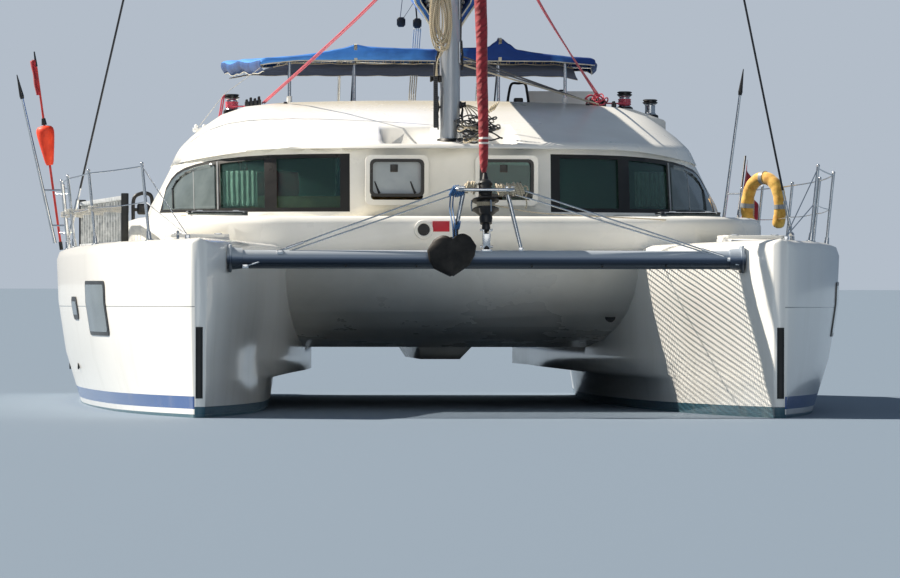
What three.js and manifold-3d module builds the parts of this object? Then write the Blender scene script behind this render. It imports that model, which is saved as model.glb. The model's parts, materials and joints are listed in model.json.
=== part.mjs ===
// Cruising sailing catamaran, afloat, with her mainsail stowed in its bag and her headsail rolled up.
// Millimetres, +Z up. The bows point to -Y, starboard is -X and port is +X.
// The origin is amidships on the centreline, at the waterline.

import * as THREE from 'three';
import { mergeVertices } from 'three/addons/utils/BufferGeometryUtils.js';
import Module from 'manifold-3d';

const wasm = await Module();
wasm.setup();

// Driving dimensions
const LENGTH = 11550;
const STEM_Y = -LENGTH / 2;
const HULL_X = 2250;
const DRAFT = 1150;
const FIT = 0.3;
const PIN_GAP = 0.5;
const RUN = 6;

const BEAM_AFT = 450;
const BEAM_Z = 1230;
const BEAM_RADIUS = 65;

const LEDGE_LOW = 305;
const LEDGE_HIGH = 440;

const SLAB_LOW = 500;
const SOLE_Z = 620;
const WELL_X = 1850;
const WELL_FRONT = 4900;
const WELL_AFT = 10600;
const BULKHEAD_AFT = 8000;
const BULKHEAD_THICK = 60;

const PLINTH_Z = 1590;
const PLINTH_FRONT = 2950;
const CABIN_MID = 6400;
const WALL = 60;
const LIP_Z = 2170;

const MAST_AFT = 4480;
const MAST_FOOT_Z = 2236;
const MAST_TOP_Z = 16900;
const MAST_WIDE = 170;
const MAST_LONG = 240;
const STAY_TOP_Z = 15000;
const SHROUD_TOP_Z = 15200;
const CHAINPLATE_X = 3170;
const CHAINPLATE_AFT = 6600;

const GOOSENECK_AFT = 4720;
const GOOSENECK_Z = 3220;
const BOOM_END_AFT = 9900;
const BOOM_END_Z = 3860;
const BOOM_RADIUS = 75;

const RAIL_HIGH = 600;
const DOOR_WIDE = 780;

// Distance aft of the stems, turned into this frame's y
const aft = (distance) => STEM_Y + distance;

const SIDES = [
  { name: 'starboard', sign: -1 },
  { name: 'port', sign: 1 },
];

// Finishes: colour, roughness, metalness
const FINISH = {
  gelcoat: [0xf3f3ee, 0.25, 0],
  antifoul: [0x2d5c74, 0.7, 0],
  glass: [0x24302f, 0.05, 0],
  window_black: [0x14161a, 0.3, 0],
  alloy: [0xb4b9bf, 0.4, 0.8],
  beam_paint: [0x6f7c8a, 0.4, 0.2],
  stainless: [0xc9ccce, 0.2, 1],
  canvas_blue: [0x1c57b8, 0.85, 0],
  sail_red: [0x9c2a33, 0.85, 0],
  net: [0xd9d8d0, 0.9, 0],
  black_plastic: [0x1b1c1e, 0.5, 0],
  galvanised: [0x4c453d, 0.7, 0.5],
  bronze: [0x8d6b3a, 0.4, 0.9],
  cast_grey: [0x8e9498, 0.6, 0.3],
  cushion_red: [0x6e1f28, 0.9, 0],
  orange: [0xf04a1d, 0.6, 0],
  yellow: [0xe0a92f, 0.7, 0],
};

const boat = new THREE.Group();

function finish(slot) {
  const [color, roughness, metalness] = FINISH[slot];
  return new THREE.MeshStandardMaterial({ color, roughness, metalness, name: slot });
}

// Solids: closed geometry in, joined or cut, and back to geometry

function solid(geometry) {
  const bare = geometry.clone();
  for (const attribute of Object.keys(bare.attributes)) {
    if (attribute !== 'position') bare.deleteAttribute(attribute);
  }
  const merged = mergeVertices(bare, 0.001);
  return new wasm.Manifold(new wasm.Mesh({
    numProp: 3,
    vertProperties: new Float32Array(merged.attributes.position.array),
    triVerts: new Uint32Array(merged.index.array),
  }));
}

function join(...solids) {
  return solids.reduce((all, one) => all.add(one));
}

function cut(body, ...tools) {
  return tools.reduce((left, tool) => left.subtract(tool), body);
}

function node(name, slot, body) {
  const mesh = body.getMesh();
  const geometry = new THREE.BufferGeometry();
  const count = mesh.vertProperties.length / mesh.numProp;
  const places = new Float32Array(count * 3);
  for (let v = 0; v < count; v += 1) {
    for (let axis = 0; axis < 3; axis += 1) {
      places[v * 3 + axis] = mesh.vertProperties[v * mesh.numProp + axis];
    }
  }
  geometry.setAttribute('position', new THREE.BufferAttribute(places, 3));
  geometry.setIndex(new THREE.BufferAttribute(mesh.triVerts, 1));
  geometry.computeVertexNormals();
  const part = new THREE.Mesh(geometry, finish(slot));
  part.name = name;
  boat.add(part);
}

// Shapes

function block(x0, x1, y0, y1, z0, z1) {
  const box = new THREE.BoxGeometry(Math.abs(x1 - x0), Math.abs(y1 - y0), Math.abs(z1 - z0));
  box.translate((x0 + x1) / 2, (y0 + y1) / 2, (z0 + z1) / 2);
  return solid(box);
}

function rod(from, to, radius, sides = 8, farRadius = radius) {
  const start = new THREE.Vector3(...from);
  const along = new THREE.Vector3(...to).sub(start);
  const shape = new THREE.CylinderGeometry(farRadius, radius, along.length(), sides);
  shape.translate(0, along.length() / 2, 0);
  const turn = new THREE.Quaternion().setFromUnitVectors(new THREE.Vector3(0, 1, 0), along.normalize());
  shape.applyQuaternion(turn);
  shape.translate(start.x, start.y, start.z);
  return solid(shape);
}

// A turned piece: its profile is pairs of distance along the axis and radius
function turned(profile, from, toward, sides) {
  const start = new THREE.Vector3(...from);
  const line = new THREE.Vector3(...toward).sub(start).normalize();
  const first = profile[0][0];
  const last = profile.at(-1)[0];
  const points = [[first, 0], ...profile, [last, 0]].map(([along, radius]) => new THREE.Vector2(radius, along));
  const shape = new THREE.LatheGeometry(points, sides);
  shape.applyQuaternion(new THREE.Quaternion().setFromUnitVectors(new THREE.Vector3(0, 1, 0), line));
  shape.translate(start.x, start.y, start.z);
  return solid(shape);
}

// A tube along a curve through the points
function tube(points, radius, steps, sides = 8) {
  const path = new THREE.CatmullRomCurve3(points.map((p) => new THREE.Vector3(...p)), false, 'centripetal');
  const ring = new THREE.Shape(new THREE.Path().absarc(0, 0, radius, 0, Math.PI * 2).getPoints(sides / 2)
    .slice(0, -1));
  return solid(new THREE.ExtrudeGeometry(ring, { steps, extrudePath: path, bevelEnabled: false }));
}

// A flat outline in x and z, given thickness along y
function upright(outline, y0, y1) {
  const shape = new THREE.Shape(outline.map(([x, z]) => new THREE.Vector2(x, z)));
  const plate = new THREE.ExtrudeGeometry(shape, { depth: Math.abs(y1 - y0), bevelEnabled: false });
  plate.rotateX(Math.PI / 2);
  plate.translate(0, Math.max(y0, y1), 0);
  return solid(plate);
}

// A flat outline in y and z, given thickness along x
function sideways(outline, x0, x1) {
  const shape = new THREE.Shape(outline.map(([y, z]) => new THREE.Vector2(y, z)));
  const plate = new THREE.ExtrudeGeometry(shape, { depth: Math.abs(x1 - x0), bevelEnabled: false });
  plate.rotateX(Math.PI / 2);
  plate.rotateZ(Math.PI / 2);
  plate.translate(Math.min(x0, x1), 0, 0);
  return solid(plate);
}

// A flat outline in x and y, given thickness along z
function level(outline, z0, z1) {
  const shape = new THREE.Shape(outline.map(([x, y]) => new THREE.Vector2(x, y)));
  const plate = new THREE.ExtrudeGeometry(shape, { depth: z1 - z0, bevelEnabled: false });
  plate.translate(0, 0, z0);
  return solid(plate);
}

// A closed skin over rings of points, all with the same count, its two ends flat
function loft(rings, flat) {
  const count = rings[0].length;
  const places = rings.flat(2);
  const faces = [];
  for (let ring = 0; ring < rings.length - 1; ring += 1) {
    for (let point = 0; point < count; point += 1) {
      const next = (point + 1) % count;
      const a = ring * count + point;
      const b = ring * count + next;
      faces.push(a, b, b + count, a, b + count, a + count);
    }
  }
  const last = (rings.length - 1) * count;
  for (const [ring, start, order] of [[rings[0], 0, -1], [rings.at(-1), last, 1]]) {
    const outline = ring.map((p) => new THREE.Vector2(...flat(p)));
    const turn = Math.sign(THREE.ShapeUtils.area(outline));
    for (const [a, b, c] of THREE.ShapeUtils.triangulateShape(outline, [])) {
      const face = Math.sign(THREE.ShapeUtils.area([outline[a], outline[b], outline[c]]));
      if (face * turn === order) faces.push(start + a, start + b, start + c);
      else faces.push(start + a, start + c, start + b);
    }
  }
  const geometry = new THREE.BufferGeometry();
  geometry.setAttribute('position', new THREE.Float32BufferAttribute(places, 3));
  geometry.setIndex(faces);
  if (volume(geometry) < 0) {
    geometry.setIndex(faces.map((_, i) => faces[i - (i % 3) + 2 - (i % 3)]));
  }
  return solid(geometry);
}

function volume(geometry) {
  const corner = (i) => new THREE.Vector3().fromBufferAttribute(geometry.attributes.position, i);
  let sum = 0;
  for (let i = 0; i < geometry.index.count; i += 3) {
    const [a, b, c] = [0, 1, 2].map((k) => corner(geometry.index.getX(i + k)));
    sum += a.dot(b.cross(c));
  }
  return sum / 6;
}

const flatY = ([x, , z]) => [x, z];
const flatZ = ([x, y]) => [x, y];

// One row of a table of sections, between its rows, on a smooth curve through them
function between(table, at) {
  const last = table.length - 1;
  let i = 0;
  while (i < last - 1 && at > table[i + 1][0]) i += 1;
  const gap = table[i + 1][0] - table[i][0];
  const t = Math.min(1, Math.max(0, (at - table[i][0]) / gap));
  return table[i].map((value, column) => {
    const slope = (k) => {
      const before = Math.max(0, k - 1);
      const after = Math.min(last, k + 1);
      return (table[after][column] - table[before][column]) / (table[after][0] - table[before][0]);
    };
    const next = table[i + 1][column];
    const rise = next - value;
    const [from, to] = [slope(i) * gap, slope(i + 1) * gap];
    return value + t * from + t * t * (3 * rise - 2 * from - to) + t * t * t * (from + to - 2 * rise);
  });
}

// Hulls: half-breadths from each hull's own centreline
// columns: aft of the stem, deck outboard, deck inboard, ledge inboard, waterline, depth, sheer height
const HULL_STATIONS = [
  [0, 48, 48, 44, 40, 250, 1375],
  [120, 135, 125, 92, 66, 330, 1377],
  [500, 290, 262, 215, 172, 385, 1377],
  [1200, 520, 430, 370, 345, 430, 1372],
  [2200, 740, 620, 540, 525, 465, 1362],
  [3000, 840, 800, 780, 620, 485, 1352],
  [5000, 985, 1060, 1060, 755, 500, 1340],
  [7000, 1015, 1215, 1215, 800, 480, 1332],
  [9000, 975, 1215, 1215, 750, 400, 1328],
  [10500, 880, 1215, 1215, 640, 240, 1325],
  [10900, 850, 760, 740, 610, 190, 1325],
  [11550, 800, 690, 670, 560, 100, 1325],
];
const HULL_CUTS = [
  0, 30, 70, 120, 190, 280, 380, 500, 650, 820, 1000, 1200, 1450, 1700, 1950, 2200, 2600, 3000, 3450, 3900, 4450,
  5000, 5500, 6000, 6500, 7000, 7500, 8000, 8500, 9000, 9500, 10000, 10500, 10700, 10900, 11220, 11550,
];

function hullRing(at) {
  const [, deckOut, deckIn, ledge, waterline, depth, sheer] = between(HULL_STATIONS, at);
  const edge = Math.min(80, deckIn * 0.6);
  const root = Math.min(ledge, waterline + 40);
  const bilge = [25, 50, 75].map((degrees) => {
    const angle = THREE.MathUtils.degToRad(degrees);
    return [waterline * Math.cos(angle) ** 0.75, -depth * Math.sin(angle) ** 0.9];
  });
  return [
    [0, -depth],
    ...bilge.toReversed(),
    [waterline, 0],
    [waterline + (deckOut - waterline) * 0.62, 440],
    [waterline + (deckOut - waterline) * 0.93, 880],
    [deckOut, sheer - edge * 1.1],
    [deckOut - edge * 0.28, sheer - edge * 0.3],
    [deckOut - edge, sheer],
    [0, sheer + 15],
    [edge - deckIn, sheer],
    [edge * 0.28 - deckIn, sheer - edge * 0.3],
    [-deckIn, sheer - edge * 1.1],
    [-ledge - (deckIn - ledge) * 0.8, 880],
    [-ledge, LEDGE_HIGH],
    [-ledge, LEDGE_LOW],
    [-root, LEDGE_LOW - 45],
    [-waterline, 0],
    ...bilge.map(([u, z]) => [-u, z]),
  ];
}

function hullShape(sign) {
  const rings = HULL_CUTS.map((at) => hullRing(at).map(([u, z]) => [sign * (HULL_X + u), aft(at), z]));
  return loft(rings, flatY);
}

// Transom steps: aft of the stem, tread height
const STEPS = [[10150, 1090], [10480, 850], [10820, 600], [11160, 340]];
const QUARTER_TOP = 9950;
const QUARTER_LOW_Z = 430;
const STEP_INSET = 110;

function sternCut(sign) {
  const high = 1500;
  const stairs = [[aft(STEPS[0][0]), high]];
  STEPS.forEach(([at, tread], i) => {
    const end = i + 1 < STEPS.length ? STEPS[i + 1][0] : LENGTH + 100;
    stairs.push([aft(at), tread], [aft(end), tread]);
  });
  stairs.push([aft(LENGTH + 100), high]);
  const slope = [
    [aft(QUARTER_TOP), 1345], [aft(LENGTH), QUARTER_LOW_Z], [aft(LENGTH + 100), QUARTER_LOW_Z - 40],
    [aft(LENGTH + 100), high], [aft(QUARTER_TOP), high],
  ];
  const inner = sign * (HULL_X - 1400);
  const outer = sign * (HULL_X + 850 - STEP_INSET);
  return join(sideways(stairs, inner, outer), sideways(slope, sign * 800, sign * 3400));
}

// Lids: centre x from the hull's line, forward edge, length, width, height of the deck under it, opening depth
const LID_THICK = 28;
const COAMING = 14;
const COAMING_WIDE = 30;
const ENGINE_LID = { x: HULL_X, front: 9330, long: 600, wide: 560, deck: 1342, deep: 1330 };
const BOW_LID = { x: 2215, front: 1400, long: 500, wide: 500, deck: 1384, deep: 400 };
const DECK_HATCH = { x: 1970, front: 3850, long: 500, wide: 500, deck: PLINTH_Z, deep: 200 };

function lidCoaming(lid, sign) {
  const half = lid.wide / 2;
  return block(
    sign * (lid.x - half), sign * (lid.x + half), aft(lid.front), aft(lid.front + lid.long),
    lid.deck - 60, lid.deck + COAMING,
  );
}

function lidWell(lid, sign) {
  const half = lid.wide / 2 - COAMING_WIDE;
  return block(
    sign * (lid.x - half), sign * (lid.x + half),
    aft(lid.front + COAMING_WIDE), aft(lid.front + lid.long - COAMING_WIDE),
    lid.deck - lid.deep, lid.deck + COAMING + 50,
  );
}

function lidPlate(lid, sign) {
  const half = lid.wide / 2;
  const low = lid.deck + COAMING + FIT;
  const front = aft(lid.front);
  const back = aft(lid.front + lid.long);
  const soft = 40;
  const plan = [
    [-half + soft, front], [half - soft, front], [half, front + soft], [half, back - soft],
    [half - soft, back], [-half + soft, back], [-half, back - soft], [-half, front + soft],
  ].map(([x, y]) => [sign * lid.x + x, y]);
  return level(plan, low, low + LID_THICK);
}

const RUDDER_AFT = 10620;
const STOCK_RADIUS = 25;
const DRIVE_AFT = 9620;
const DRIVE_LEG = 60;

const hulls = {};
for (const { name, sign } of SIDES) {
  const x = sign * HULL_X;
  const wellSide = block(0, sign * WELL_X, aft(WELL_FRONT), aft(WELL_AFT), SOLE_Z, 1700);
  const stockBore = rod([x, aft(RUDDER_AFT), -700], [x, aft(RUDDER_AFT), 150], STOCK_RADIUS + 2 * PIN_GAP, 16);
  const driveSeat = block(x - DRIVE_LEG, x + DRIVE_LEG, aft(DRIVE_AFT - 120), aft(DRIVE_AFT + 120), -900, -100);
  const shell = join(hullShape(sign), lidCoaming(BOW_LID, sign), lidCoaming(ENGINE_LID, sign));
  hulls[name] = cut(
    shell, wellSide, sternCut(sign), lidWell(BOW_LID, sign), lidWell(ENGINE_LID, sign), stockBore, driveSeat,
  );
  node(`hull_${name}`, 'gelcoat', hulls[name]);
}

// A hull moved by the fit, as the tool that trims what lies against it
function fitTools(x, y, z) {
  return SIDES.map(({ name, sign }) => hulls[name].translate([-sign * x, y, z]));
}

// A body moved by the fit to each side, ahead and up, as tools
function around(body) {
  return [[FIT, 0, 0], [-FIT, 0, 0], [0, -FIT, 0], [0, 0, FIT]].map((move) => body.translate(move));
}

// Keels: height, forward edge, chord, half thickness
const KEEL_ROWS = [
  [-430, 4850, 2500, 110], [-700, 5000, 2250, 105], [-1110, 5250, 1800, 75], [-DRAFT, 5330, 1650, 45],
];
// Foil outline: part of the chord, part of the half thickness
const FOIL = [[0, 0.12], [0.06, 0.62], [0.25, 1], [0.55, 0.85], [0.85, 0.35], [1, 0.06]];

function foilRing(x, y, chord, half, z) {
  const right = FOIL.map(([c, t]) => [x + t * half, y + c * chord, z]);
  const left = FOIL.map(([c, t]) => [x - t * half, y + c * chord, z]).toReversed();
  return [...right, ...left];
}

for (const { name, sign } of SIDES) {
  const rings = KEEL_ROWS.map(([z, front, chord, half]) => foilRing(sign * HULL_X, aft(front), chord, half, z));
  node(`keel_${name}`, 'antifoul', cut(loft(rings, flatZ), ...fitTools(0, 0, -FIT)));
}

// Rudders, saildrive legs and propellers
const RUDDER_ROWS = [[-310, 10440, 430, 26], [-950, 10500, 330, 18]];
const PROP_AFT = 9860;
const PROP_Z = -760;
const PROP_RADIUS = 200;
const BLADES = 3;
const BLADE_PITCH = 30;
const LEG_ROWS = [[-100, 9505, 230, 58], [-620, 9505, 230, 52], [-850, 9560, 150, 34]];

function propeller(x) {
  const y = aft(PROP_AFT);
  const hub = join(
    rod([x, y - 50, PROP_Z], [x, y + 50, PROP_Z], 45, 12, 38),
    rod([x, y + 50, PROP_Z], [x, y + 90, PROP_Z], 38, 12, 12),
  );
  const outline = [[-30, 20], [-75, 110], [-50, 185], [0, PROP_RADIUS], [45, 180], [60, 100], [30, 20]];
  const shape = new THREE.Shape(outline.map(([chord, radius]) => new THREE.Vector2(chord, radius)));
  const plate = new THREE.ExtrudeGeometry(shape, { depth: 12, bevelEnabled: false });
  plate.translate(0, 0, -6);
  plate.rotateX(Math.PI / 2);
  plate.rotateZ(THREE.MathUtils.degToRad(BLADE_PITCH));
  const blade = solid(plate);
  const turns = Array.from({ length: BLADES }, (_, i) => (i * 360) / BLADES);
  return join(hub, ...turns.map((turn) => blade.rotate([0, turn, 0]).translate([x, y, PROP_Z])));
}

for (const { name, sign } of SIDES) {
  const x = sign * HULL_X;
  const rows = RUDDER_ROWS.map(([z, front, chord, half]) => foilRing(x, aft(front), chord, half, z));
  const stock = rod([x, aft(RUDDER_AFT), -330], [x, aft(RUDDER_AFT), 130], STOCK_RADIUS, 12);
  node(`rudder_${name}`, 'antifoul', join(loft(rows, flatZ), stock));

  const leg = loft(LEG_ROWS.map(([z, front, chord, half]) => foilRing(x, aft(front), chord, half, z)), flatZ);
  const gearcase = rod([x, aft(DRIVE_AFT - 150), PROP_Z], [x, aft(PROP_AFT - 50 - PIN_GAP), PROP_Z], 48, 12, 44);
  node(`saildrive_${name}`, 'cast_grey', join(leg, gearcase));
  node(`propeller_${name}`, 'bronze', propeller(x));

  const half = 190;
  const low = ENGINE_LID.deck - ENGINE_LID.deep + FIT;
  node(`engine_${name}`, 'cast_grey', block(x - half, x + half, aft(9380), aft(9880), low, low + 520));
  node(`engine_lid_${name}`, 'gelcoat', lidPlate(ENGINE_LID, sign));
  node(`bow_lid_${name}`, 'gelcoat', lidPlate(BOW_LID, sign));
}

// Bridge deck: its underside curves up into the nacelle's front
const NACELLE = [
  [3000, 1335], [3005, 1230], [3060, 1090], [3180, 950], [3400, 810], [3750, 680], [4250, 570], [5000, SLAB_LOW],
];
const BRIDGE_END = 10640;
const bridgeOutline = [
  ...NACELLE.map(([at, z]) => [aft(at), z]),
  [aft(BRIDGE_END), SLAB_LOW], [aft(BRIDGE_END), SOLE_Z], [aft(WELL_FRONT), SOLE_Z], [aft(WELL_FRONT), 1335],
];
// Centre pod under the bridge deck: aft of the stem, half-widths at the top and below, depth below the slab
const POD = [[5200, 260, 200, 8], [5600, 225, 170, 110], [7600, 225, 170, 110], [8200, 225, 170, 8]];
const pod = loft(POD.map(([at, top, low, deep]) => [
  [-top, aft(at), SLAB_LOW + 20], [top, aft(at), SLAB_LOW + 20],
  [low, aft(at), SLAB_LOW - deep], [-low, aft(at), SLAB_LOW - deep],
]), flatY);
const bridge = cut(join(sideways(bridgeOutline, -1600, 1600), pod), ...fitTools(FIT, 0, 0));
node('bridgedeck', 'gelcoat', bridge);

// Raised deck around the cabin: half of its plan, from the centreline outward and aft
const PLINTH_HALF = [
  [0, PLINTH_FRONT], [1500, 2960], [1900, 3060], [2250, 3300], [2480, 3700], [2600, 4200], [2660, 5000],
  [2680, 6500], [2650, BULKHEAD_AFT],
];
// Saloon plan inside the raised deck and the walls
const SALOON_HALF = [[0, 4560], [900, 4650], [1500, 5000], [2000, 5600], [2200, 6300], [2240, BULKHEAD_AFT + 10]];

function bothHalves(half, grow = 0) {
  const right = half.map(([x, at]) => [Math.max(0, x + (x > 0 ? grow : 0)), aft(at - grow)]);
  return [...right, ...right.filter(([x]) => x > 0).map(([x, y]) => [-x, y]).toReversed()];
}

const PLINTH_EDGE = 70;
const plinthRings = [
  [bothHalves(PLINTH_HALF), 1300], [bothHalves(PLINTH_HALF), PLINTH_Z - PLINTH_EDGE],
  [bothHalves(PLINTH_HALF, -20), PLINTH_Z - 18], [bothHalves(PLINTH_HALF, -PLINTH_EDGE), PLINTH_Z],
].map(([plan, z]) => plan.map(([x, y]) => [x, Math.min(y, aft(BULKHEAD_AFT)), z]));
const saloonSpace = level(bothHalves(SALOON_HALF), 1000, 1700);
let plinth = loft(plinthRings, flatZ);
for (const { sign } of SIDES) plinth = join(plinth, lidCoaming(DECK_HATCH, sign));
for (const { sign } of SIDES) plinth = cut(plinth, lidWell(DECK_HATCH, sign));
plinth = cut(plinth, saloonSpace, ...around(bridge), ...fitTools(0, 0, FIT));
node('deck_plinth', 'gelcoat', plinth);
for (const { name, sign } of SIDES) node(`deck_hatch_${name}`, 'glass', lidPlate(DECK_HATCH, sign));

// Cabin: plan sections by height
// columns: height, half-width, forward edge aft of the stem
const CABIN_ROWS = [
  [PLINTH_Z + FIT, 2500, 4240], [1720, 2455, 4245], [1880, 2365, 4250], [2050, 2280, 4260], [LIP_Z, 2205, 4270],
];
const ROOF_ROWS = [
  [2040, 2295, 4160], [LIP_Z + FIT, 2232, 4160], [2205, 2210, 4170], [2240, 2180, 4440], [2310, 2110, 4730],
  [2400, 1997, 5150], [2500, 1850, 5650], [2575, 1640, 6150], [2622, 1300, 6550], [2644, 800, 6900],
];

// All that lies under the roof's edge, which comes down toward the sides
const BROW = { from: 1400, reach: 820, drop: 95, power: 1.6, end: 2500, step: 100 };
function underBrow() {
  const { from, reach, drop, power, end, step } = BROW;
  const outline = [[-end, PLINTH_Z - 100]];
  for (let x = -end; x <= end; x += step) {
    outline.push([x, LIP_Z - drop * Math.max(0, (Math.abs(x) - from) / reach) ** power]);
  }
  outline.push([end, PLINTH_Z - 100]);
  return upright(outline, aft(4000), aft(BULKHEAD_AFT + 100));
}

// A plan: an elliptical front, straight sides and a straight end
function cabinRing([z, half, front], middle, end, inset, drop) {
  const steps = 22;
  const ring = [];
  const reach = middle - front - inset;
  for (let step = 0; step <= steps; step += 1) {
    const angle = Math.PI * (step / steps);
    ring.push([
      -(half - inset) * Math.cos(angle), aft(middle - reach * Math.sin(angle) ** 0.97), z - drop,
    ]);
  }
  ring.push([half - inset - 30, aft(end), z - drop], [inset + 30 - half, aft(end), z - drop]);
  return ring;
}

function cabinSolid(inset, low = 0, high = 0) {
  const rows = [...CABIN_ROWS];
  const [bottom, top] = [rows[0], rows.at(-1)];
  if (low) rows.unshift([bottom[0] - low, bottom[1], bottom[2]]);
  if (high) rows.push([top[0] + high, top[1], top[2]]);
  return loft(rows.map((row) => cabinRing(row, CABIN_MID, BULKHEAD_AFT, inset, 0)), flatZ);
}

// The roof's widest section; a row near the ridge has its own this far aft of its front
const ROOF_MID = 6400;
const ROOF_ROUND = 350;
const ROOF_END = 8000;
function roofSolid(inset, low = 0) {
  const rings = ROOF_ROWS.map((row) => (
    cabinRing(row, Math.max(ROOF_MID, row[2] + ROOF_ROUND), ROOF_END, inset, inset)
  ));
  rings[0] = rings[0].map(([x, y, z]) => [x, y, z - low]);
  return loft(rings, flatZ);
}

// Window band outline seen from ahead, for the port side
const BAND = [
  [845, 1640], [845, 2128], [1250, 2126], [1500, 2122], [1700, 2112], [1860, 2098], [1990, 2080], [2100, 2056],
  [2190, 2026], [2250, 1990], [2295, 1940], [2340, 1860], [2400, 1640],
];
// Panes: inboard edge, outboard edge
const PANES = [[925, 1445], [1545, 1905], [1940, 2290]];
const PANE_LOW = 1672;

function bandTool(sign, inset) {
  const outline = BAND.map(([x, z]) => [
    sign * (x + (x < 900 ? inset : -inset)), z + (z < 1700 ? inset : -inset),
  ]);
  return upright(outline, aft(3900), aft(6750));
}

function paneTool(sign) {
  const shrunk = bandTool(sign, 34);
  const panes = PANES.map(([x0, x1]) => block(sign * x0, sign * x1, aft(3900), aft(6750), PANE_LOW, 2200));
  return join(...panes).intersect(shrunk);
}

const FRONT_WINDOW = { x0: 230, x1: 690, z0: 1720, z1: 2035, rim: 34, proud: 24 };

function frontOpening(sign, grow) {
  const { x0, x1, z0, z1 } = FRONT_WINDOW;
  return block(sign * (x0 - grow), sign * (x1 + grow), aft(4100), aft(4700), z0 - grow, z1 + grow);
}

const walls = cut(
  cabinSolid(0).intersect(underBrow()),
  cabinSolid(WALL, 50, 50), block(-2100, 2100, aft(7700), aft(8100), 1500, 2300),
  ...SIDES.map(({ sign }) => bandTool(sign, 0)), ...SIDES.map(({ sign }) => frontOpening(sign, 0)),
);
node('cabin_walls', 'gelcoat', walls);

// Depths below the walls' skin: the frame's face, its back, the glass's back
const FRAME_FACE = 3;
const FRAME_BACK = 17;
const GLASS_BACK = 26;
const frameSkin = cut(cabinSolid(FRAME_FACE), cabinSolid(FRAME_BACK, 60, 60));
const glassSkin = cut(cabinSolid(FRAME_BACK + FIT), cabinSolid(GLASS_BACK, 60, 60));
const FRONT_AFT = 4245;
const FRONT_BACK = FRONT_AFT + 32;
const RIM_WIDE = 12;
for (const { name, sign } of SIDES) {
  node(`window_frame_${name}`, 'window_black', cut(frameSkin.intersect(bandTool(sign, FIT)), paneTool(sign)));
  node(`window_glass_${name}`, 'glass', glassSkin.intersect(bandTool(sign, FIT)));
  const { x0, x1, z0, z1, rim, proud } = FRONT_WINDOW;
  const slab = (front, back, grow) => block(
    sign * (x0 - grow), sign * (x1 + grow), aft(front), aft(back), z0 - grow, z1 + grow,
  );
  const pane = slab(FRONT_BACK - 12, FRONT_BACK, -FIT);
  const rimOuter = slab(FRONT_AFT - 8 - proud, FRONT_AFT - 8, rim);
  const rimInner = slab(4100, FRONT_BACK + 28, -RIM_WIDE);
  const sleeve = slab(FRONT_AFT - 10, FRONT_BACK, -FIT);
  node(`front_window_${name}`, 'glass', join(cut(join(rimOuter, sleeve), rimInner), pane));
}

// Coach roof, with a recess either side of the mast, a flat seat under it, and a raised plinth for the winches
const ROOF_THICK = 50;
const RECESS_FLOOR = 2208;
// Half of the recess's plan: x, aft of the stem
const RECESS = [[115, 4080], [560, 4080], [560, 4885], [540, 4937], [485, 4960], [115, 4960]];
const recess = SIDES.map(({ sign }) => level(RECESS.map(([x, at]) => [sign * x, aft(at)]), RECESS_FLOOR, 2600));
const mastSeat = block(-115, 115, aft(4300), aft(4720), MAST_FOOT_Z - FIT, 2600);
const recessBed = block(-620, 620, aft(3990), aft(5030), LIP_Z + 2, 2600);
const WINCH_PLINTH = [
  [1500, 2300], [1500, 2560], [1590, 2591], [1790, 2584], [2078, 2486], [2095, 2468], [2095, 2300],
];
const roofFull = join(
  cut(roofSolid(0), underBrow().translate([0, 0, FIT])),
  upright(WINCH_PLINTH, aft(7060), aft(7860)),
);
const roof = cut(roofFull, cut(roofSolid(ROOF_THICK, 80), recessBed), mastSeat, ...recess);
node('coachroof', 'gelcoat', roof);

// Aft bulkhead, with its door and window openings and the sliding door's track
const doorX = -60;
const bulkY = aft(BULKHEAD_AFT - BULKHEAD_THICK);
const bulkPlate = (low, high) => block(-2400, 2400, bulkY, aft(BULKHEAD_AFT - FIT), low, high);
// Its outline follows the walls up to this height and the roof above it
const BULK_TURN = LIP_Z - BROW.drop + 6;
const bulkTop = join(
  cabinSolid(WALL + FIT).intersect(bulkPlate(PLINTH_Z + FIT, BULK_TURN)),
  roofSolid(ROOF_THICK + FIT, 80).intersect(bulkPlate(BULK_TURN, 2700)),
);
const bulkLower = block(
  -(WELL_X - 30), WELL_X - 30, bulkY, aft(BULKHEAD_AFT - FIT), SOLE_Z + FIT, PLINTH_Z + 20,
);
const doorway = block(doorX, doorX - DOOR_WIDE + 60, aft(7800), aft(8100), SOLE_Z + 60, 2420);
const track = block(doorX + 20, doorX - 2 * DOOR_WIDE, bulkY, aft(BULKHEAD_AFT + 44), SOLE_Z + 20, SOLE_Z + 50);
const bulkhead = cut(join(bulkTop, bulkLower, track), doorway);
node('aft_bulkhead', 'gelcoat', bulkhead);
const doorLow = SOLE_Z + 50 + PIN_GAP;
node('saloon_door', 'glass', block(
  doorX + 10, doorX - DOOR_WIDE, aft(BULKHEAD_AFT + RUN), aft(BULKHEAD_AFT + 36), doorLow, 2450,
));

// Saloon settee: a seat round the front and the starboard side, with its back up above the sill
const SETTEE = { deep: 550, seat: 1050, back: 1800, thick: 130 };
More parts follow.
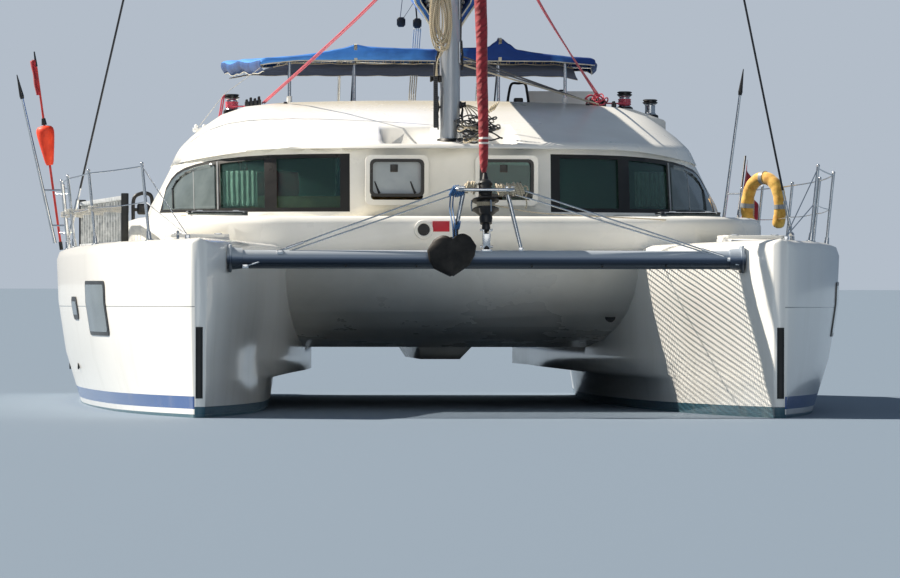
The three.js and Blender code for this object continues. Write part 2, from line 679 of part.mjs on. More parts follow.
// Outer plan of the settee: x, aft of the stem
const SETTEE_PLAN = [[500, 5080], [-1300, 5080], [-1740, 5620], [-1740, 7300]];
function setteePlan(inset, end) {
  const [inner, front, corner, side] = SETTEE_PLAN;
  return [
    [inner[0] + end, aft(front[1] + inset)], [front[0] + inset * 0.4, aft(front[1] + inset)],
    [corner[0] + inset, aft(corner[1] + inset * 0.4)], [side[0] + inset, aft(side[1] + end)],
    [inner[0] + end, aft(side[1] + end)],
  ];
}
function settee() {
  const { deep, seat, back, thick } = SETTEE;
  const outer = [...setteePlan(0, 0)];
  const base = cut(level(outer, SOLE_Z + FIT, seat), level(setteePlan(deep, 10), SOLE_Z, seat + 10));
  const rest = cut(level(outer, seat - 10, back), level(setteePlan(thick, 10), seat - 20, back + 10));
  return join(base, rest);
}
node('saloon_settee', 'cushion_red', settee());

// Cockpit: side and aft benches inside their coaming
const COAMING_Z = 1620;
const BENCH_Z = 1050;
const BENCH_DEEP = 480;
const LINER = 60;
function cockpit() {
  const inner = WELL_X - FIT;
  const front = aft(BULKHEAD_AFT + 160);
  const back = aft(WELL_AFT - FIT);
  const liner = cut(
    block(-inner, inner, front, back, SOLE_Z + FIT, COAMING_Z),
    block(LINER - inner, inner - LINER, front - 10, back - LINER, SOLE_Z, COAMING_Z + 10),
  );
  const starboardBench = block(-inner + 1, BENCH_DEEP - inner, front, back, SOLE_Z + FIT, BENCH_Z);
  const aftBench = block(-inner + 1, 1050, back - BENCH_DEEP, back, SOLE_Z + FIT, BENCH_Z);
  const gates = SIDES.map(({ sign }) => block(
    sign * 1080, sign * (inner - LINER), back - LINER - 10, back + 10, BENCH_Z - 1, COAMING_Z + 10,
  ));
  return cut(join(liner, starboardBench, aftBench), ...gates);
}
node('cockpit_seats', 'gelcoat', cockpit());

// Helm: pod against the bulkhead, wheel, and seat
const HELM_X = 1270;
const WHEEL_AFT = 8330;
const WHEEL_Z = 1960;
const WHEEL_RADIUS = 340;
const WHEEL_HUB = 41;
const podOutline = [
  [aft(BULKHEAD_AFT + FIT), 1350], [aft(8230), 1350], [aft(8260), 2300], [aft(8200), 2700], [aft(8120), 2765],
  [aft(BULKHEAD_AFT + FIT), 2765],
];
node('helm_console', 'gelcoat', join(
  sideways(podOutline, HELM_X - 310, HELM_X + 310),
  rod([HELM_X, aft(8230), WHEEL_Z], [HELM_X, aft(WHEEL_AFT - WHEEL_HUB - PIN_GAP), WHEEL_Z], 30, 12),
));

const SPOKES = 5;
function wheel() {
  const rim = new THREE.TorusGeometry(WHEEL_RADIUS, 15, 6, 30);
  rim.rotateX(Math.PI / 2);
  rim.translate(HELM_X, aft(WHEEL_AFT), WHEEL_Z);
  let shape = join(solid(rim), rod(
    [HELM_X, aft(WHEEL_AFT - WHEEL_HUB), WHEEL_Z], [HELM_X, aft(WHEEL_AFT + 25), WHEEL_Z], 50, 12,
  ));
  for (let spoke = 0; spoke < SPOKES; spoke += 1) {
    const angle = (spoke * 2 * Math.PI) / SPOKES;
    const [out, up] = [WHEEL_RADIUS * Math.sin(angle), WHEEL_RADIUS * Math.cos(angle)];
    const tip = [HELM_X + out, aft(WHEEL_AFT), WHEEL_Z + up];
    shape = join(shape, rod([HELM_X, aft(WHEEL_AFT), WHEEL_Z], tip, 9, 6));
  }
  return shape;
}
node('steering_wheel', 'stainless', wheel());
node('helm_seat', 'gelcoat', join(
  block(HELM_X - 330, HELM_X + 330, aft(8900), aft(9350), SOLE_Z + FIT, 1480),
  block(HELM_X - 330, HELM_X + 330, aft(9300), aft(9380), 1480 - 10, 1880),
));

// Crossbeam with its anchor roller, striker with its stays, net
const ROLLER_X = -250;
const ROLLER_FRONT = 330;
const beamRod = (radius) => rod([-HULL_X, aft(BEAM_AFT), BEAM_Z], [HULL_X, aft(BEAM_AFT), BEAM_Z], radius, 16);
const beamRaw = join(
  beamRod(BEAM_RADIUS),
  block(ROLLER_X - 50, ROLLER_X + 50, aft(ROLLER_FRONT), aft(560), BEAM_Z + 45, BEAM_Z + 110),
);
const beam = cut(beamRaw, ...fitTools(FIT, 0, 0));
node('crossbeam', 'beam_paint', beam);

const stayFoot = new THREE.Vector3(0, aft(BEAM_AFT), BEAM_Z + BEAM_RADIUS + 1);
const stayHead = new THREE.Vector3(0, aft(MAST_AFT - MAST_LONG / 2 + 4), STAY_TOP_Z);
const onStay = (z) => stayFoot.clone().lerp(stayHead, (z - stayFoot.z) / (stayHead.z - stayFoot.z)).toArray();

const STRIKER_Z = 1770;
const STRIKER_GAP = 76;
// Striker stays: outboard end x, its height, upper end x, its height
const STAYS = [[1610, 1300, 260, 1795], [1930, 1205, 215, 1740]];
function striker() {
  const y = onStay(STRIKER_Z)[1];
  const foot = aft(BEAM_AFT);
  const bars = [-1, 1].map((side) => rod(
    [-225, y + side * STRIKER_GAP, STRIKER_Z], [225, y + side * STRIKER_GAP, STRIKER_Z], 12, 8,
  ));
  let shape = join(...bars);
  for (const { sign } of SIDES) {
    const ends = block(
      sign * 150, sign * 232, y - STRIKER_GAP - 12, y + STRIKER_GAP + 12, STRIKER_Z - 26, STRIKER_Z + 30,
    );
    shape = join(shape, ends, rod([sign * 165, y, STRIKER_Z], [sign * 268, foot, BEAM_Z], 17, 8));
    for (const [farX, farZ, nearX, nearZ] of STAYS) {
      shape = join(shape, rod([sign * farX, foot, farZ], [sign * (nearX - 40), y, nearZ], 7, 6));
    }
  }
  return shape;
}
const beamTools = [beamRod(BEAM_RADIUS + FIT), beam];
node('striker', 'stainless', cut(striker(), ...beamTools));

const NET_Z = 1250;
const NET_X = 1985;
const NET_THICK = 14;
const NET_FRONT = BEAM_AFT + BEAM_RADIUS + 1;
const netPlate = block(-NET_X, NET_X, aft(NET_FRONT), aft(PLINTH_FRONT + 40), NET_Z, NET_Z + NET_THICK);
node('trampoline', 'net', cut(netPlate, bridge.translate([0, -FIT, 0]), ...fitTools(FIT, 0, 0)));

// Forestay with the rolled headsail, and its furling drum
const DRUM_TOP_Z = 1848;
// Rolled sail on its foil: height, radius
const ROLL = [
  [DRUM_TOP_Z + FIT, 14], [1890, 14], [1960, 40], [2150, 56], [5000, 60], [9000, 50], [13600, 30], [14100, 12],
  [STAY_TOP_Z, 12],
];
// Furling drum: height, radius, upward from the toggle
const DRUM = [
  [1270, 12], [1420, 12], [1425, 26], [1500, 28], [1510, 45], [1590, 96], [1600, 104], [1612, 60], [1680, 60],
  [1690, 108], [1705, 100], [1750, 55], [1838, 50], [DRUM_TOP_Z, 30],
];
const stayStretch = stayHead.distanceTo(stayFoot) / (stayHead.z - stayFoot.z);
function onStayTurned(rows) {
  const low = rows[0][0];
  const profile = rows.map(([z, radius]) => [(z - low) * stayStretch, radius]);
  return turned(profile, onStay(low), onStay(STAY_TOP_Z), 14);
}
const mastStrip = level(mastPlan(FIT), MAST_FOOT_Z, MAST_TOP_Z);
node('furler_drum', 'black_plastic', cut(onStayTurned(DRUM), ...beamTools));
node('furled_genoa', 'sail_red', cut(onStayTurned(ROLL), mastStrip));

function mastPlan(grow = 0) {
  const plan = [];
  const steps = 20;
  for (let step = 0; step < steps; step += 1) {
    const angle = (2 * Math.PI * step) / steps;
    plan.push([
      (MAST_WIDE / 2 + grow) * Math.cos(angle), aft(MAST_AFT) + (MAST_LONG / 2 + grow) * Math.sin(angle),
    ]);
  }
  return plan;
}

// Mast with swept spreaders, its diamond stays and the gooseneck's fork
const SPREADER_Z = 8900;
const SPREADER_X = 880;
const SPREADER_SWEEP = 420;
const DIAMOND = [4100, 14600];
const FORK_GAP = 104;
const FORK_PLATE = 20;
function mast() {
  let shape = level(mastPlan(), MAST_FOOT_Z, MAST_TOP_Z);
  for (const { sign } of SIDES) {
    const tip = [sign * SPREADER_X, aft(MAST_AFT + SPREADER_SWEEP), SPREADER_Z + 60];
    shape = join(shape, rod([0, aft(MAST_AFT), SPREADER_Z], tip, 34, 8, 20));
    for (const z of DIAMOND) shape = join(shape, rod([sign * 70, aft(MAST_AFT), z], tip, 6, 6));
  }
  const fork = [-1, 1].map((side) => block(
    -45, 45, aft(MAST_AFT + 80), aft(GOOSENECK_AFT + 40),
    GOOSENECK_Z + side * FORK_GAP / 2, GOOSENECK_Z + side * (FORK_GAP / 2 + FORK_PLATE),
  ));
  const cap = block(-60, 60, aft(MAST_AFT - 190), aft(MAST_AFT + 260), MAST_TOP_Z - 5, MAST_TOP_Z + 60);
  return join(shape, ...fork, cap);
}
node('mast', 'alloy', mast());

// Boom and the bag on it
const boomRise = (BOOM_END_Z - GOOSENECK_Z) / (BOOM_END_AFT - GOOSENECK_AFT);
const boomZ = (at) => GOOSENECK_Z + (at - GOOSENECK_AFT) * boomRise;
const onBoom = (at, rise = 0) => [0, aft(at), boomZ(at) + rise];
const pinHalf = FORK_GAP / 2 - PIN_GAP;
const boom = join(
  rod(onBoom(GOOSENECK_AFT, -pinHalf), onBoom(GOOSENECK_AFT, pinHalf), 28, 12),
  rod(onBoom(GOOSENECK_AFT), onBoom(4880), 26, 10),
  rod(onBoom(4840), onBoom(BOOM_END_AFT), BOOM_RADIUS, 14),
);
node('boom', 'alloy', boom);

// Bag sections: aft of the stem, height above the boom's top, half-width
const BAG = [
  [4960, 640, 150], [5200, 680, 235], [6500, 560, 240], [8200, 400, 205], [9500, 250, 140], [9760, 170, 90],
];
const bagRings = BAG.map(([at, high, half]) => {
  const low = boomZ(at) + BOOM_RADIUS * 0.4;
  return [
    [-30, low], [-half * 0.8, low + high * 0.28], [-half, low + high * 0.6], [-half * 0.72, low + high * 0.92],
    [0, low + high], [half * 0.72, low + high * 0.92], [half, low + high * 0.6], [half * 0.8, low + high * 0.28],
    [30, low],
  ].map(([x, z]) => [x, aft(at), z]);
});
const boomTool = rod(onBoom(4700), onBoom(10100), BOOM_RADIUS + FIT, 14);
node('sail_bag', 'canvas_blue', cut(loft(bagRings, flatY), boomTool));

// Shrouds, each from its chainplate to the mast
for (const { name, sign } of SIDES) {
  const foot = [sign * CHAINPLATE_X, aft(CHAINPLATE_AFT), 1420];
  const head = [sign * 60, aft(MAST_AFT + 20), SHROUD_TOP_Z];
  const plate = block(
    foot[0] - 6, foot[0] + 6, foot[1] - 30, foot[1] + 30, 1290, 1470,
  );
  const screw = rod(foot, new THREE.Vector3(...foot).lerp(new THREE.Vector3(...head), 0.025).toArray(), 13, 8);
  const wire = rod(foot, head, 7, 6);
  node(`shroud_${name}`, 'stainless', cut(join(plate, screw, wire), mastStrip, ...fitTools(0, 0, FIT)));
}

// Rails: stanchions and lifelines, aft of the stem
const STANCHIONS = [1000, 3000, 5000, 7100, 9000, 10050];
const LEAN = 60;
const RAIL_INSET = 95;
const deckEdge = (at) => HULL_X + between(HULL_STATIONS, at)[1] - RAIL_INSET;
const sheerAt = (at) => between(HULL_STATIONS, at)[6];

const LIFELINE = { part: 0.965, radius: 6 };
const WIRE_END = 4;
const onPost = (sign, at, part) => [
  sign * (deckEdge(at) + LEAN * part), aft(at), sheerAt(at) + RAIL_HIGH * part,
];

// A wire between two stanchions, its ends inside them
function wireBetween(from, to, radius) {
  const start = new THREE.Vector3(...from);
  const end = new THREE.Vector3(...to);
  const trim = end.clone().sub(start).setLength(WIRE_END);
  return rod(start.add(trim).toArray(), end.sub(trim).toArray(), radius, 6);
}

function rails(sign) {
  const posts = STANCHIONS.map((at) => rod(onPost(sign, at, -0.05), onPost(sign, at, 1), 13, 8));
  const { part, radius } = LIFELINE;
  const wires = STANCHIONS.slice(1).map((to, i) => (
    wireBetween(onPost(sign, STANCHIONS[i], part), onPost(sign, to, part), radius)
  ));
  return join(...posts, ...wires);
}

// Poles and the ensign staff, each held by a stanchion: foot, head, radius, the stanchion's place
const POLES = {
  starboard: [{ foot: [-3262, 9070, 1400], head: [-3610, 9070, 2930], radius: 17, at: 9000 }],
  port: [
    { foot: [2935, 10260, 1335], head: [3160, 10260, 3050], radius: 17, at: 10050 },
    { foot: [3062, 10060, 1450], head: [3215, 10560, 2240], radius: 12, at: 10050 },
  ],
};
function pole({ foot, head, radius, at }, sign) {
  const [low, high] = [foot, head].map(([x, along, z]) => [x, aft(along), z]);
  const grip = (z) => {
    const t = (z - low[2]) / (high[2] - low[2]);
    const on = low.map((value, axis) => value + (high[axis] - value) * t);
    const post = [sign * (deckEdge(at) + LEAN * (z - sheerAt(at)) / RAIL_HIGH), aft(at), z];
    return rod(on, post, 8, 6);
  };
  return join(rod(low, high, radius, 8, radius * 0.7), grip(1560), grip(1880));
}
const railBody = {};
// Danbuoy, leaning outboard: its pole, its float and the flag rolled round its top
const DAN = { foot: -3190, head: -3445, at: 10180, low: 1345, high: 3180, radius: 11 };
const onDan = (z, out = 0) => [
  DAN.foot - out + ((DAN.head - DAN.foot) * (z - DAN.low)) / (DAN.high - DAN.low), aft(DAN.at), z,
];
const danbuoy = join(
  rod(onDan(DAN.low), onDan(DAN.high), DAN.radius, 12),
  rod(onDan(2130), onDan(2440), 42, 12, 84),
  rod(onDan(2440), onDan(2490), 84, 12, 60),
  rod(onDan(2765, 16), onDan(3110, 22), 22, 10, 34),
);
// Clips that hold the danbuoy's pole to the last starboard stanchion
const danSleeve = rod(onDan(DAN.low - 10), onDan(DAN.high), DAN.radius + FIT, 12);
const danClips = [1500, 1860].map((z) => {
  const post = [-(deckEdge(10050) + LEAN * (z - sheerAt(10050)) / RAIL_HIGH), aft(10050), z];
  return cut(rod(post, onDan(z), 8, 6), danSleeve);
});
for (const { name, sign } of SIDES) {
  const extras = POLES[name].map((row) => pole(row, sign));
  if (sign < 0) extras.push(...danClips);
  railBody[name] = cut(join(rails(sign), ...extras), ...fitTools(0, 0, FIT));
  node(`rail_${name}`, 'stainless', railBody[name]);
}
node('danbuoy', 'orange', danbuoy);

// Bimini: tubes on the roof and the coaming, and its canopy
const BIMINI_FRONT = 7250;
const BIMINI_BACK = 9750;
const TUBE = 15;
// Bows: aft of the stem, half-width, edge height, ridge height
const BOWS = [
  [BIMINI_FRONT, 1400, 2965, 3113], [8500, 1530, 2985, 3128], [BIMINI_BACK, 1640, 2925, 3043],
];
const RIDGE_X = 640;
// Straight tubes on each side: x, aft of the stem, height, to the same three
const POSTS = [
  [RIDGE_X, 7400, 2560, RIDGE_X, 7400, 3113],
  [RIDGE_X, 10570, 1600, RIDGE_X, BIMINI_BACK, 3043],
  [1220, BIMINI_FRONT, 2500, 1220, BIMINI_FRONT, 3000],
];
function biminiFrame() {
  const pieces = [];
  for (const [at, half, edge, ridge] of BOWS) {
    const line = [[-half, edge], [-RIDGE_X, ridge], [RIDGE_X, ridge], [half, edge]];
    line.slice(1).forEach(([x, z], i) => {
      pieces.push(rod([line[i][0], aft(at), line[i][1]], [x, aft(at), z], TUBE, 8));
    });
  }
  for (const { sign } of SIDES) {
    BOWS.slice(1).forEach((to, i) => {
      const from = BOWS[i];
      pieces.push(rod([sign * RIDGE_X, aft(from[0]), from[3]], [sign * RIDGE_X, aft(to[0]), to[3]], TUBE, 8));
    });
    for (const [x, at, z, farX, farAt, farZ] of POSTS) {
      pieces.push(rod([sign * x, aft(at), z], [sign * farX, aft(farAt), farZ], TUBE, 8));
    }
  }
  return join(...pieces);
}
const cockpitTool = cockpit().translate([0, 0, FIT]);
node('bimini_frame', 'stainless', cut(biminiFrame(), roofFull.translate([0, 0, FIT]), cockpitTool));

// Canopy: each bow's line again, lifted clear of the tubes, and past the end bows
const CLOTH = 12;
const OVERHANG = [-60, 0, 50];
const canopyRings = BOWS.map(([at, bowHalf, edge, ridge], i) => {
  const half = bowHalf + 28;
  const middle = ridge + TUBE + FIT + CLOTH;
  const line = [
    [-half, edge + 46], [-half * 0.75, (edge + ridge) / 2 + 72], [-690, ridge + 66], [0, middle],
    [690, ridge + 66], [half * 0.75, (edge + ridge) / 2 + 72], [half, edge + 46],
  ];
  const top = line.map(([x, z]) => [x, aft(at + OVERHANG[i]), z]);
  const under = line.map(([x, z]) => [x, aft(at + OVERHANG[i]), z - CLOTH]).toReversed();
  return [...top, ...under];
});
node('bimini_canopy', 'canvas_blue', loft(canopyRings, flatY));

// Gangway, lashed on edge inside the starboard rail: the plan of its two ends, its height and its ribs
const GANGWAY = {
  from: [-2760, 3000], to: [-3040, 7200], low: 1346, high: 1750, half: 26, side: 34, ribs: 17, rib: 24,
};
function gangway() {
  const { from, to, low, high, half, side, ribs, rib } = GANGWAY;
  const [run, across] = [to[1] - from[1], from[0] - to[0]];
  const long = Math.hypot(run, across);
  const bars = [block(-half, half, 0, long, low, low + side), block(-half, half, 0, long, high - side, high)];
  for (let i = 0; i < ribs; i += 1) {
    const at = 12 + ((long - rib - 24) * i) / (ribs - 1);
    bars.push(block(-rib / 2, rib / 2, at, at + rib, low + 10, high - 10));
  }
  const turn = THREE.MathUtils.radToDeg(Math.atan2(across, run));
  return join(...bars).rotate([0, 0, turn]).translate([from[0], aft(from[1]), 0]);
}
node('gangway', 'alloy', cut(gangway(), ...fitTools(0, 0, FIT)));

// Winches on the roof's shoulders: x, aft of the stem, height of the base
const WINCHES = [
  ['winch_starboard', -1727, 7260, 2552], ['winch_port', 1750, 7260, 2594], ['winch_port_aft', 1995, 7440, 2520],
];
// Winch profile: height above the base, radius
const WINCH_PROFILE = [
  [-160, 78], [20, 78], [32, 58], [60, 50], [110, 50], [135, 62], [150, 62], [158, 46], [178, 46],
];
for (const [name, x, at, z] of WINCHES) {
  const drum = turned(WINCH_PROFILE, [x, aft(at), z], [x, aft(at), z + 1], 16);
  node(name, 'black_plastic', cut(drum, roofFull.translate([0, 0, FIT])));
}

// Anchor, hung at the roller ahead of the beam
const ANCHOR_AFT = 300;
const FLUKE = [
  [-280, 1095], [-400, 1180], [-465, 1290], [-440, 1380], [-370, 1405], [-290, 1370], [-215, 1400], [-140, 1380],
  [-100, 1300], [-165, 1185],
];
// Shank, its aft face against the roller's front
const SHANK = [
  [aft(ANCHOR_AFT - 40), 1180], [aft(ROLLER_FRONT - FIT), 1180], [aft(ROLLER_FRONT - FIT), 1500],
  [aft(ANCHOR_AFT - 30), 1510],
];
const anchor = join(
  upright(FLUKE, aft(ANCHOR_AFT - 60), aft(ANCHOR_AFT - 20)),
  sideways(SHANK, ROLLER_X - 18, ROLLER_X + 18),
);
node('anchor', 'galvanised', anchor);

// Horseshoe buoy on the port rail
const BUOY = { x: 3143, at: 8000, z: 1790 };
// The horseshoe's line, round its middle: y, z
const HORSESHOE = [[-170, -250], [-205, -60], [-150, 130], [0, 205], [150, 130], [205, -60], [170, -250]];
const horseshoe = tube(HORSESHOE.map(([y, z]) => [BUOY.x, aft(BUOY.at) + y, BUOY.z + z]), 58, 16, 10);
node('lifebuoy', 'yellow', cut(horseshoe, railBody.port.translate([-FIT, 0, 0])));

export default boat;
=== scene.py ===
"""A cruising sailing catamaran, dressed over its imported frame.

Laid out as an add-on: sizes and colours are properties, each group of pieces is an operator, and a
sidebar panel lists them. Run as a script, main() makes everything in order.
"""

import json
import random
from functools import partial
from math import atan2, copysign, cos, exp, pi, radians, sin, sqrt, tau
from random import uniform

import bmesh
import bpy
from mathutils import Matrix, Vector, noise
from mathutils.bvhtree import BVHTree

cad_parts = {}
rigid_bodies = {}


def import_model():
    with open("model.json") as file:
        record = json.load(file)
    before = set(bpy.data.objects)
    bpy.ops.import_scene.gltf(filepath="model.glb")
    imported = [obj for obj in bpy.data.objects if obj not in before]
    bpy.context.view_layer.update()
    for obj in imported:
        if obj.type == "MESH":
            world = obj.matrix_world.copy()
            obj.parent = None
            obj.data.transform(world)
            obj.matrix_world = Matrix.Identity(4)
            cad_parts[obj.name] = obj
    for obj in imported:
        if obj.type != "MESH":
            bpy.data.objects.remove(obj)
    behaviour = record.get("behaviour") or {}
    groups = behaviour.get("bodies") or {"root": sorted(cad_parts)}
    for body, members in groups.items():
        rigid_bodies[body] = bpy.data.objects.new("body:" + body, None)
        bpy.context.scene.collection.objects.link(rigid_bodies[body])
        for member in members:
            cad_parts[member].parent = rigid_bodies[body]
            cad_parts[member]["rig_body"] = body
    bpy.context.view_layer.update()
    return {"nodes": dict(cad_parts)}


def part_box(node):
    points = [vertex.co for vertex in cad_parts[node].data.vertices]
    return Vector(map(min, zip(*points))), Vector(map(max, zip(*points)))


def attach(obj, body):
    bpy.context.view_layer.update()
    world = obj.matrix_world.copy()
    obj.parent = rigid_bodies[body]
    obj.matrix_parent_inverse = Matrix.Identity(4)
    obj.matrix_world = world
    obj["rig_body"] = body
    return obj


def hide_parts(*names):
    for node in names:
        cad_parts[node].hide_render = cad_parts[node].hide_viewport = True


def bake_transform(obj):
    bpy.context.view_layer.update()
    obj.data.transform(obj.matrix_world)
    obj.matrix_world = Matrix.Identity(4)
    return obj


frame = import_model()

bl_info = {
    "name": "Sailing catamaran",
    "version": (1, 0, 0),
    "blender": (4, 5, 0),
    "location": "View3D > Sidebar > Catamaran",
    "description": "Dresses a sailing catamaran's frame",
    "category": "Object",
}

STEM_Y = -5.775
HULL_X = 2.25
SIDES = (("starboard", -1), ("port", 1))
# Camera: place, heading to port of ahead, pitch, roll, lens on a 36 mm sensor
EYE = (-3.89, -55.624, 1.026)
HEADING = radians(4.1)
PITCH = radians(-0.035)
ROLL = radians(0.1)
LENS = 259.2
SENSOR = 36.0
# Direction to the sun: from the starboard quarter, 43 degrees up
SUN_FROM = (-0.667, 0.291, 0.687)


def aft(distance):
    """The y of a point this far aft of the stems."""
    return STEM_Y + distance


def vec(x, y, z):
    """A vector of its parts."""
    return Vector((x, y, z))


def up(z):
    """A step up."""
    return Vector((0, 0, z))


def spot(x, back, z):
    """The point at x and z this far aft of the stems."""
    return Vector((x, aft(back), z))


def angles(count, turns=1.0):
    """Angles that go round in so many steps."""
    return [tau * k / count * turns for k in range(count + 1)]


def at_row(rows, where):
    """Values between the rows of a table, found by each row's first value."""
    for low, high in zip(rows, rows[1:]):
        if where <= high[0] or high is rows[-1]:
            part = (where - low[0]) / (high[0] - low[0])
            return [a + (b - a) * part for a, b in zip(low[1:], high[1:])]


# Mesh shapes


def edges_of(verts):
    """The vertices' edges, each once and in an order that every run repeats."""
    return list(dict.fromkeys(e for v in verts for e in v.link_edges))


def faces_of(verts):
    """The vertices' faces, each once."""
    return list(dict.fromkeys(f for v in verts for f in v.link_faces))


def box(bm, low, high, edge=0.0, steps=2):
    """Adds a block between two corners, its edges rounded."""
    low, high = [Vector(pick(pair) for pair in zip(low, high)) for pick in (min, max)]
    place = Matrix.Translation((low + high) / 2) @ Matrix.Diagonal((*(high - low), 1))
    verts = bmesh.ops.create_cube(bm, size=1, matrix=place)["verts"]
    if edge:
        bmesh.ops.bevel(
            bm, geom=edges_of(verts), offset=edge, offset_type="OFFSET", segments=steps, profile=0.5,
            affect="EDGES", material=-1, clamp_overlap=True,
        )


def block(bm, centre, reach, edge=0.0, steps=2):
    """Adds a block round its centre that reaches so far each way."""
    box(bm, Vector(centre) - Vector(reach), Vector(centre) + Vector(reach), edge, steps)


def towards(start, end):
    """The matrix that lays the z axis on the line from start to end."""
    along = Vector(end) - Vector(start)
    return Matrix.Translation(start) @ along.to_track_quat("Z", "Y").to_matrix().to_4x4()


def rod(bm, start, end, radius, end_radius=None, sides=16):
    """Adds a round bar, or a cone, between two points."""
    length = (Vector(end) - Vector(start)).length
    bmesh.ops.create_cone(
        bm, cap_ends=True, cap_tris=False, segments=sides, radius1=radius,
        radius2=radius if end_radius is None else end_radius, depth=length,
        matrix=towards(start, end) @ Matrix.Translation((0, 0, length / 2)),
    )


def ball(bm, centre, radii, steps=12):
    """Adds an ellipsoid."""
    radii = radii if hasattr(radii, "__len__") else (radii,) * 3
    bmesh.ops.create_uvsphere(
        bm, u_segments=steps * 2, v_segments=steps, radius=1,
        matrix=Matrix.Translation(centre) @ Matrix.Diagonal((*radii, 1)),
    )


def turned(bm, profile, base, toward, steps=32):
    """Spins pairs of height and radius about the line from base toward another point."""
    before = set(bm.verts)
    chain = [bm.verts.new((radius, 0, along)) for along, radius in profile]
    edges = [bm.edges.new(pair) for pair in zip(chain, chain[1:])]
    bmesh.ops.spin(
        bm, geom=chain + edges, cent=(0, 0, 0), axis=(0, 0, 1), angle=tau, steps=steps, use_merge=True,
    )
    bmesh.ops.transform(bm, matrix=towards(base, toward), verts=[v for v in bm.verts if v not in before])


def swept(bm, points, radius, sides=10):
    """Carries a ring along the points; its UVs are the part of a turn and the metres along."""
    path = [Vector(p) for p in points]
    radii = radius if hasattr(radius, "__len__") else [radius] * len(path)
    uv = bm.loops.layers.uv.verify()
    ring = bmesh.ops.create_circle(bm, cap_ends=False, segments=sides, radius=1)["verts"]
    mark = {v: (i / sides, 0.0) for i, v in enumerate(ring)}
    heading = Vector((0, 0, 1))
    middle, size, along = Vector(), 1.0, 0.0
    for step, point in enumerate(path):
        ahead = path[min(step + 1, len(path) - 1)] - path[max(step - 1, 0)]
        if step:
            edges = [e for e in edges_of(ring) if all(v in ring for v in e.verts)]
            made = bmesh.ops.extrude_edge_only(bm, edges=edges)["geom"]
            fresh = set(new_verts(made))
            ring = [next(e.other_vert(v) for e in v.link_edges if e.other_vert(v) in fresh) for v in ring]
            along += (point - path[step - 1]).length
            mark.update({v: (i / sides, along) for i, v in enumerate(ring)})
            for face in (f for f in made if isinstance(f, bmesh.types.BMFace)):
                wraps = max(mark[loop.vert][0] for loop in face.loops) > 0.75
                for loop in face.loops:
                    u, v = mark[loop.vert]
                    loop[uv].uv = (1.0 if wraps and u == 0 else u, v)
        turn = heading.rotation_difference(ahead.normalized()).to_matrix()
        for vert in ring:
            vert.co = point + turn @ (vert.co - middle) * (radii[step] / size)
        heading, middle, size = ahead.normalized(), point, radii[step]
        if step in (0, len(path) - 1):
            bm.faces.new(ring)


def curve_through(points, count):
    """Points on a smooth curve through the ones given."""
    knots = [Vector(p) for p in points]
    spans = len(knots) - 1
    line = []
    for step in range(count + 1):
        place = step * spans / count
        span = min(int(place), spans - 1)
        t = place - span
        p = [knots[min(max(i, 0), spans)] for i in range(span - 1, span + 3)]
        line.append(0.5 * (
            2 * p[1] + (p[2] - p[0]) * t + (2 * p[0] - 5 * p[1] + 4 * p[2] - p[3]) * t * t
            + (3 * p[1] - p[0] - 3 * p[2] + p[3]) * t * t * t
        ))
    return line


def bent(bm, points, count, radius, sides=8):
    """Adds a bar or rope along a smooth curve through the points."""
    swept(bm, curve_through(points, count), radius, sides)


def new_verts(made):
    """The vertices among what an operator made."""
    return [v for v in made if isinstance(v, bmesh.types.BMVert)]


def thrust(bm, faces, thickness):
    """Gives faces a thickness vector."""
    made = bmesh.ops.extrude_face_region(bm, geom=faces)["geom"]
    bmesh.ops.translate(bm, vec=thickness, verts=new_verts(made))


def plate(bm, outline, thickness):
    """Adds a flat outline, carried along the thickness vector."""
    thrust(bm, [bm.faces.new([bm.verts.new(p) for p in outline])], thickness)


def webbing(bm, line, half, thickness):
    """Adds a strap whose middle follows the line, half its width to each side."""
    half = Vector(half)
    for a, b in zip(line, line[1:]):
        plate(bm, [a - half, a + half, b + half, b - half], Vector(thickness))


def sheet_grid(bm, across, along, place):
    """Adds a grid whose point at (u, v), each from 0 to 1, lies at place(u, v), with u and v as UVs."""
    verts = bmesh.ops.create_grid(bm, x_segments=across, y_segments=along, size=0.5)["verts"]
    uv = bm.loops.layers.uv.verify()
    for face in faces_of(verts):
        for loop in face.loops:
            loop[uv].uv = (loop.vert.co.x + 0.5, loop.vert.co.y + 0.5)
    for vert in verts:
        vert.co = place(vert.co.x + 0.5, vert.co.y + 0.5)
    return verts


def finished(name, bm, material, body="boat", sharp=35.0, recalculate=True, node=None):
    """Makes a piece of the mesh: merged, smooth but for its sharp edges, on its body, for a CAD node."""
    bmesh.ops.remove_doubles(bm, verts=bm.verts, dist=1e-5)
    if recalculate:
        bmesh.ops.recalc_face_normals(bm, faces=bm.faces)
    mesh = bpy.data.meshes.new(name)
    bm.to_mesh(mesh)
    bm.free()
    mesh.polygons.foreach_set("use_smooth", [True] * len(mesh.polygons))
    mesh.set_sharp_from_angle(angle=radians(sharp))
    mesh.materials.append(MATERIALS[material])
    piece = bpy.data.objects.new(name, mesh)
    bpy.context.scene.collection.objects.link(piece)
    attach(piece, body)
    if node:
        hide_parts(node)
    return piece


def skin(node, material, sharp=35.0):
    """A smooth-shaded copy of a CAD node, which stands for it."""
    bm = bmesh.new()
    bm.from_mesh(frame["nodes"][node].data)
    for layer in list(bm.loops.layers.uv.values()):
        bm.loops.layers.uv.remove(layer)
    body = frame["nodes"][node]["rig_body"]
    return finished(f"{node}_skin", bm, material, body, sharp, False, node)


def coat(node, material):
    """Gives a CAD node, whose shape is right, its finish."""
    slots = frame["nodes"][node].data.materials
    slots.clear()
    slots.append(MATERIALS[material])


def thicken(piece, thickness, offset=0.0):
    """Gives a sheet its thickness."""
    shell = piece.modifiers.new("thickness", "SOLIDIFY")
    shell.thickness = thickness
    shell.offset = offset
    return piece


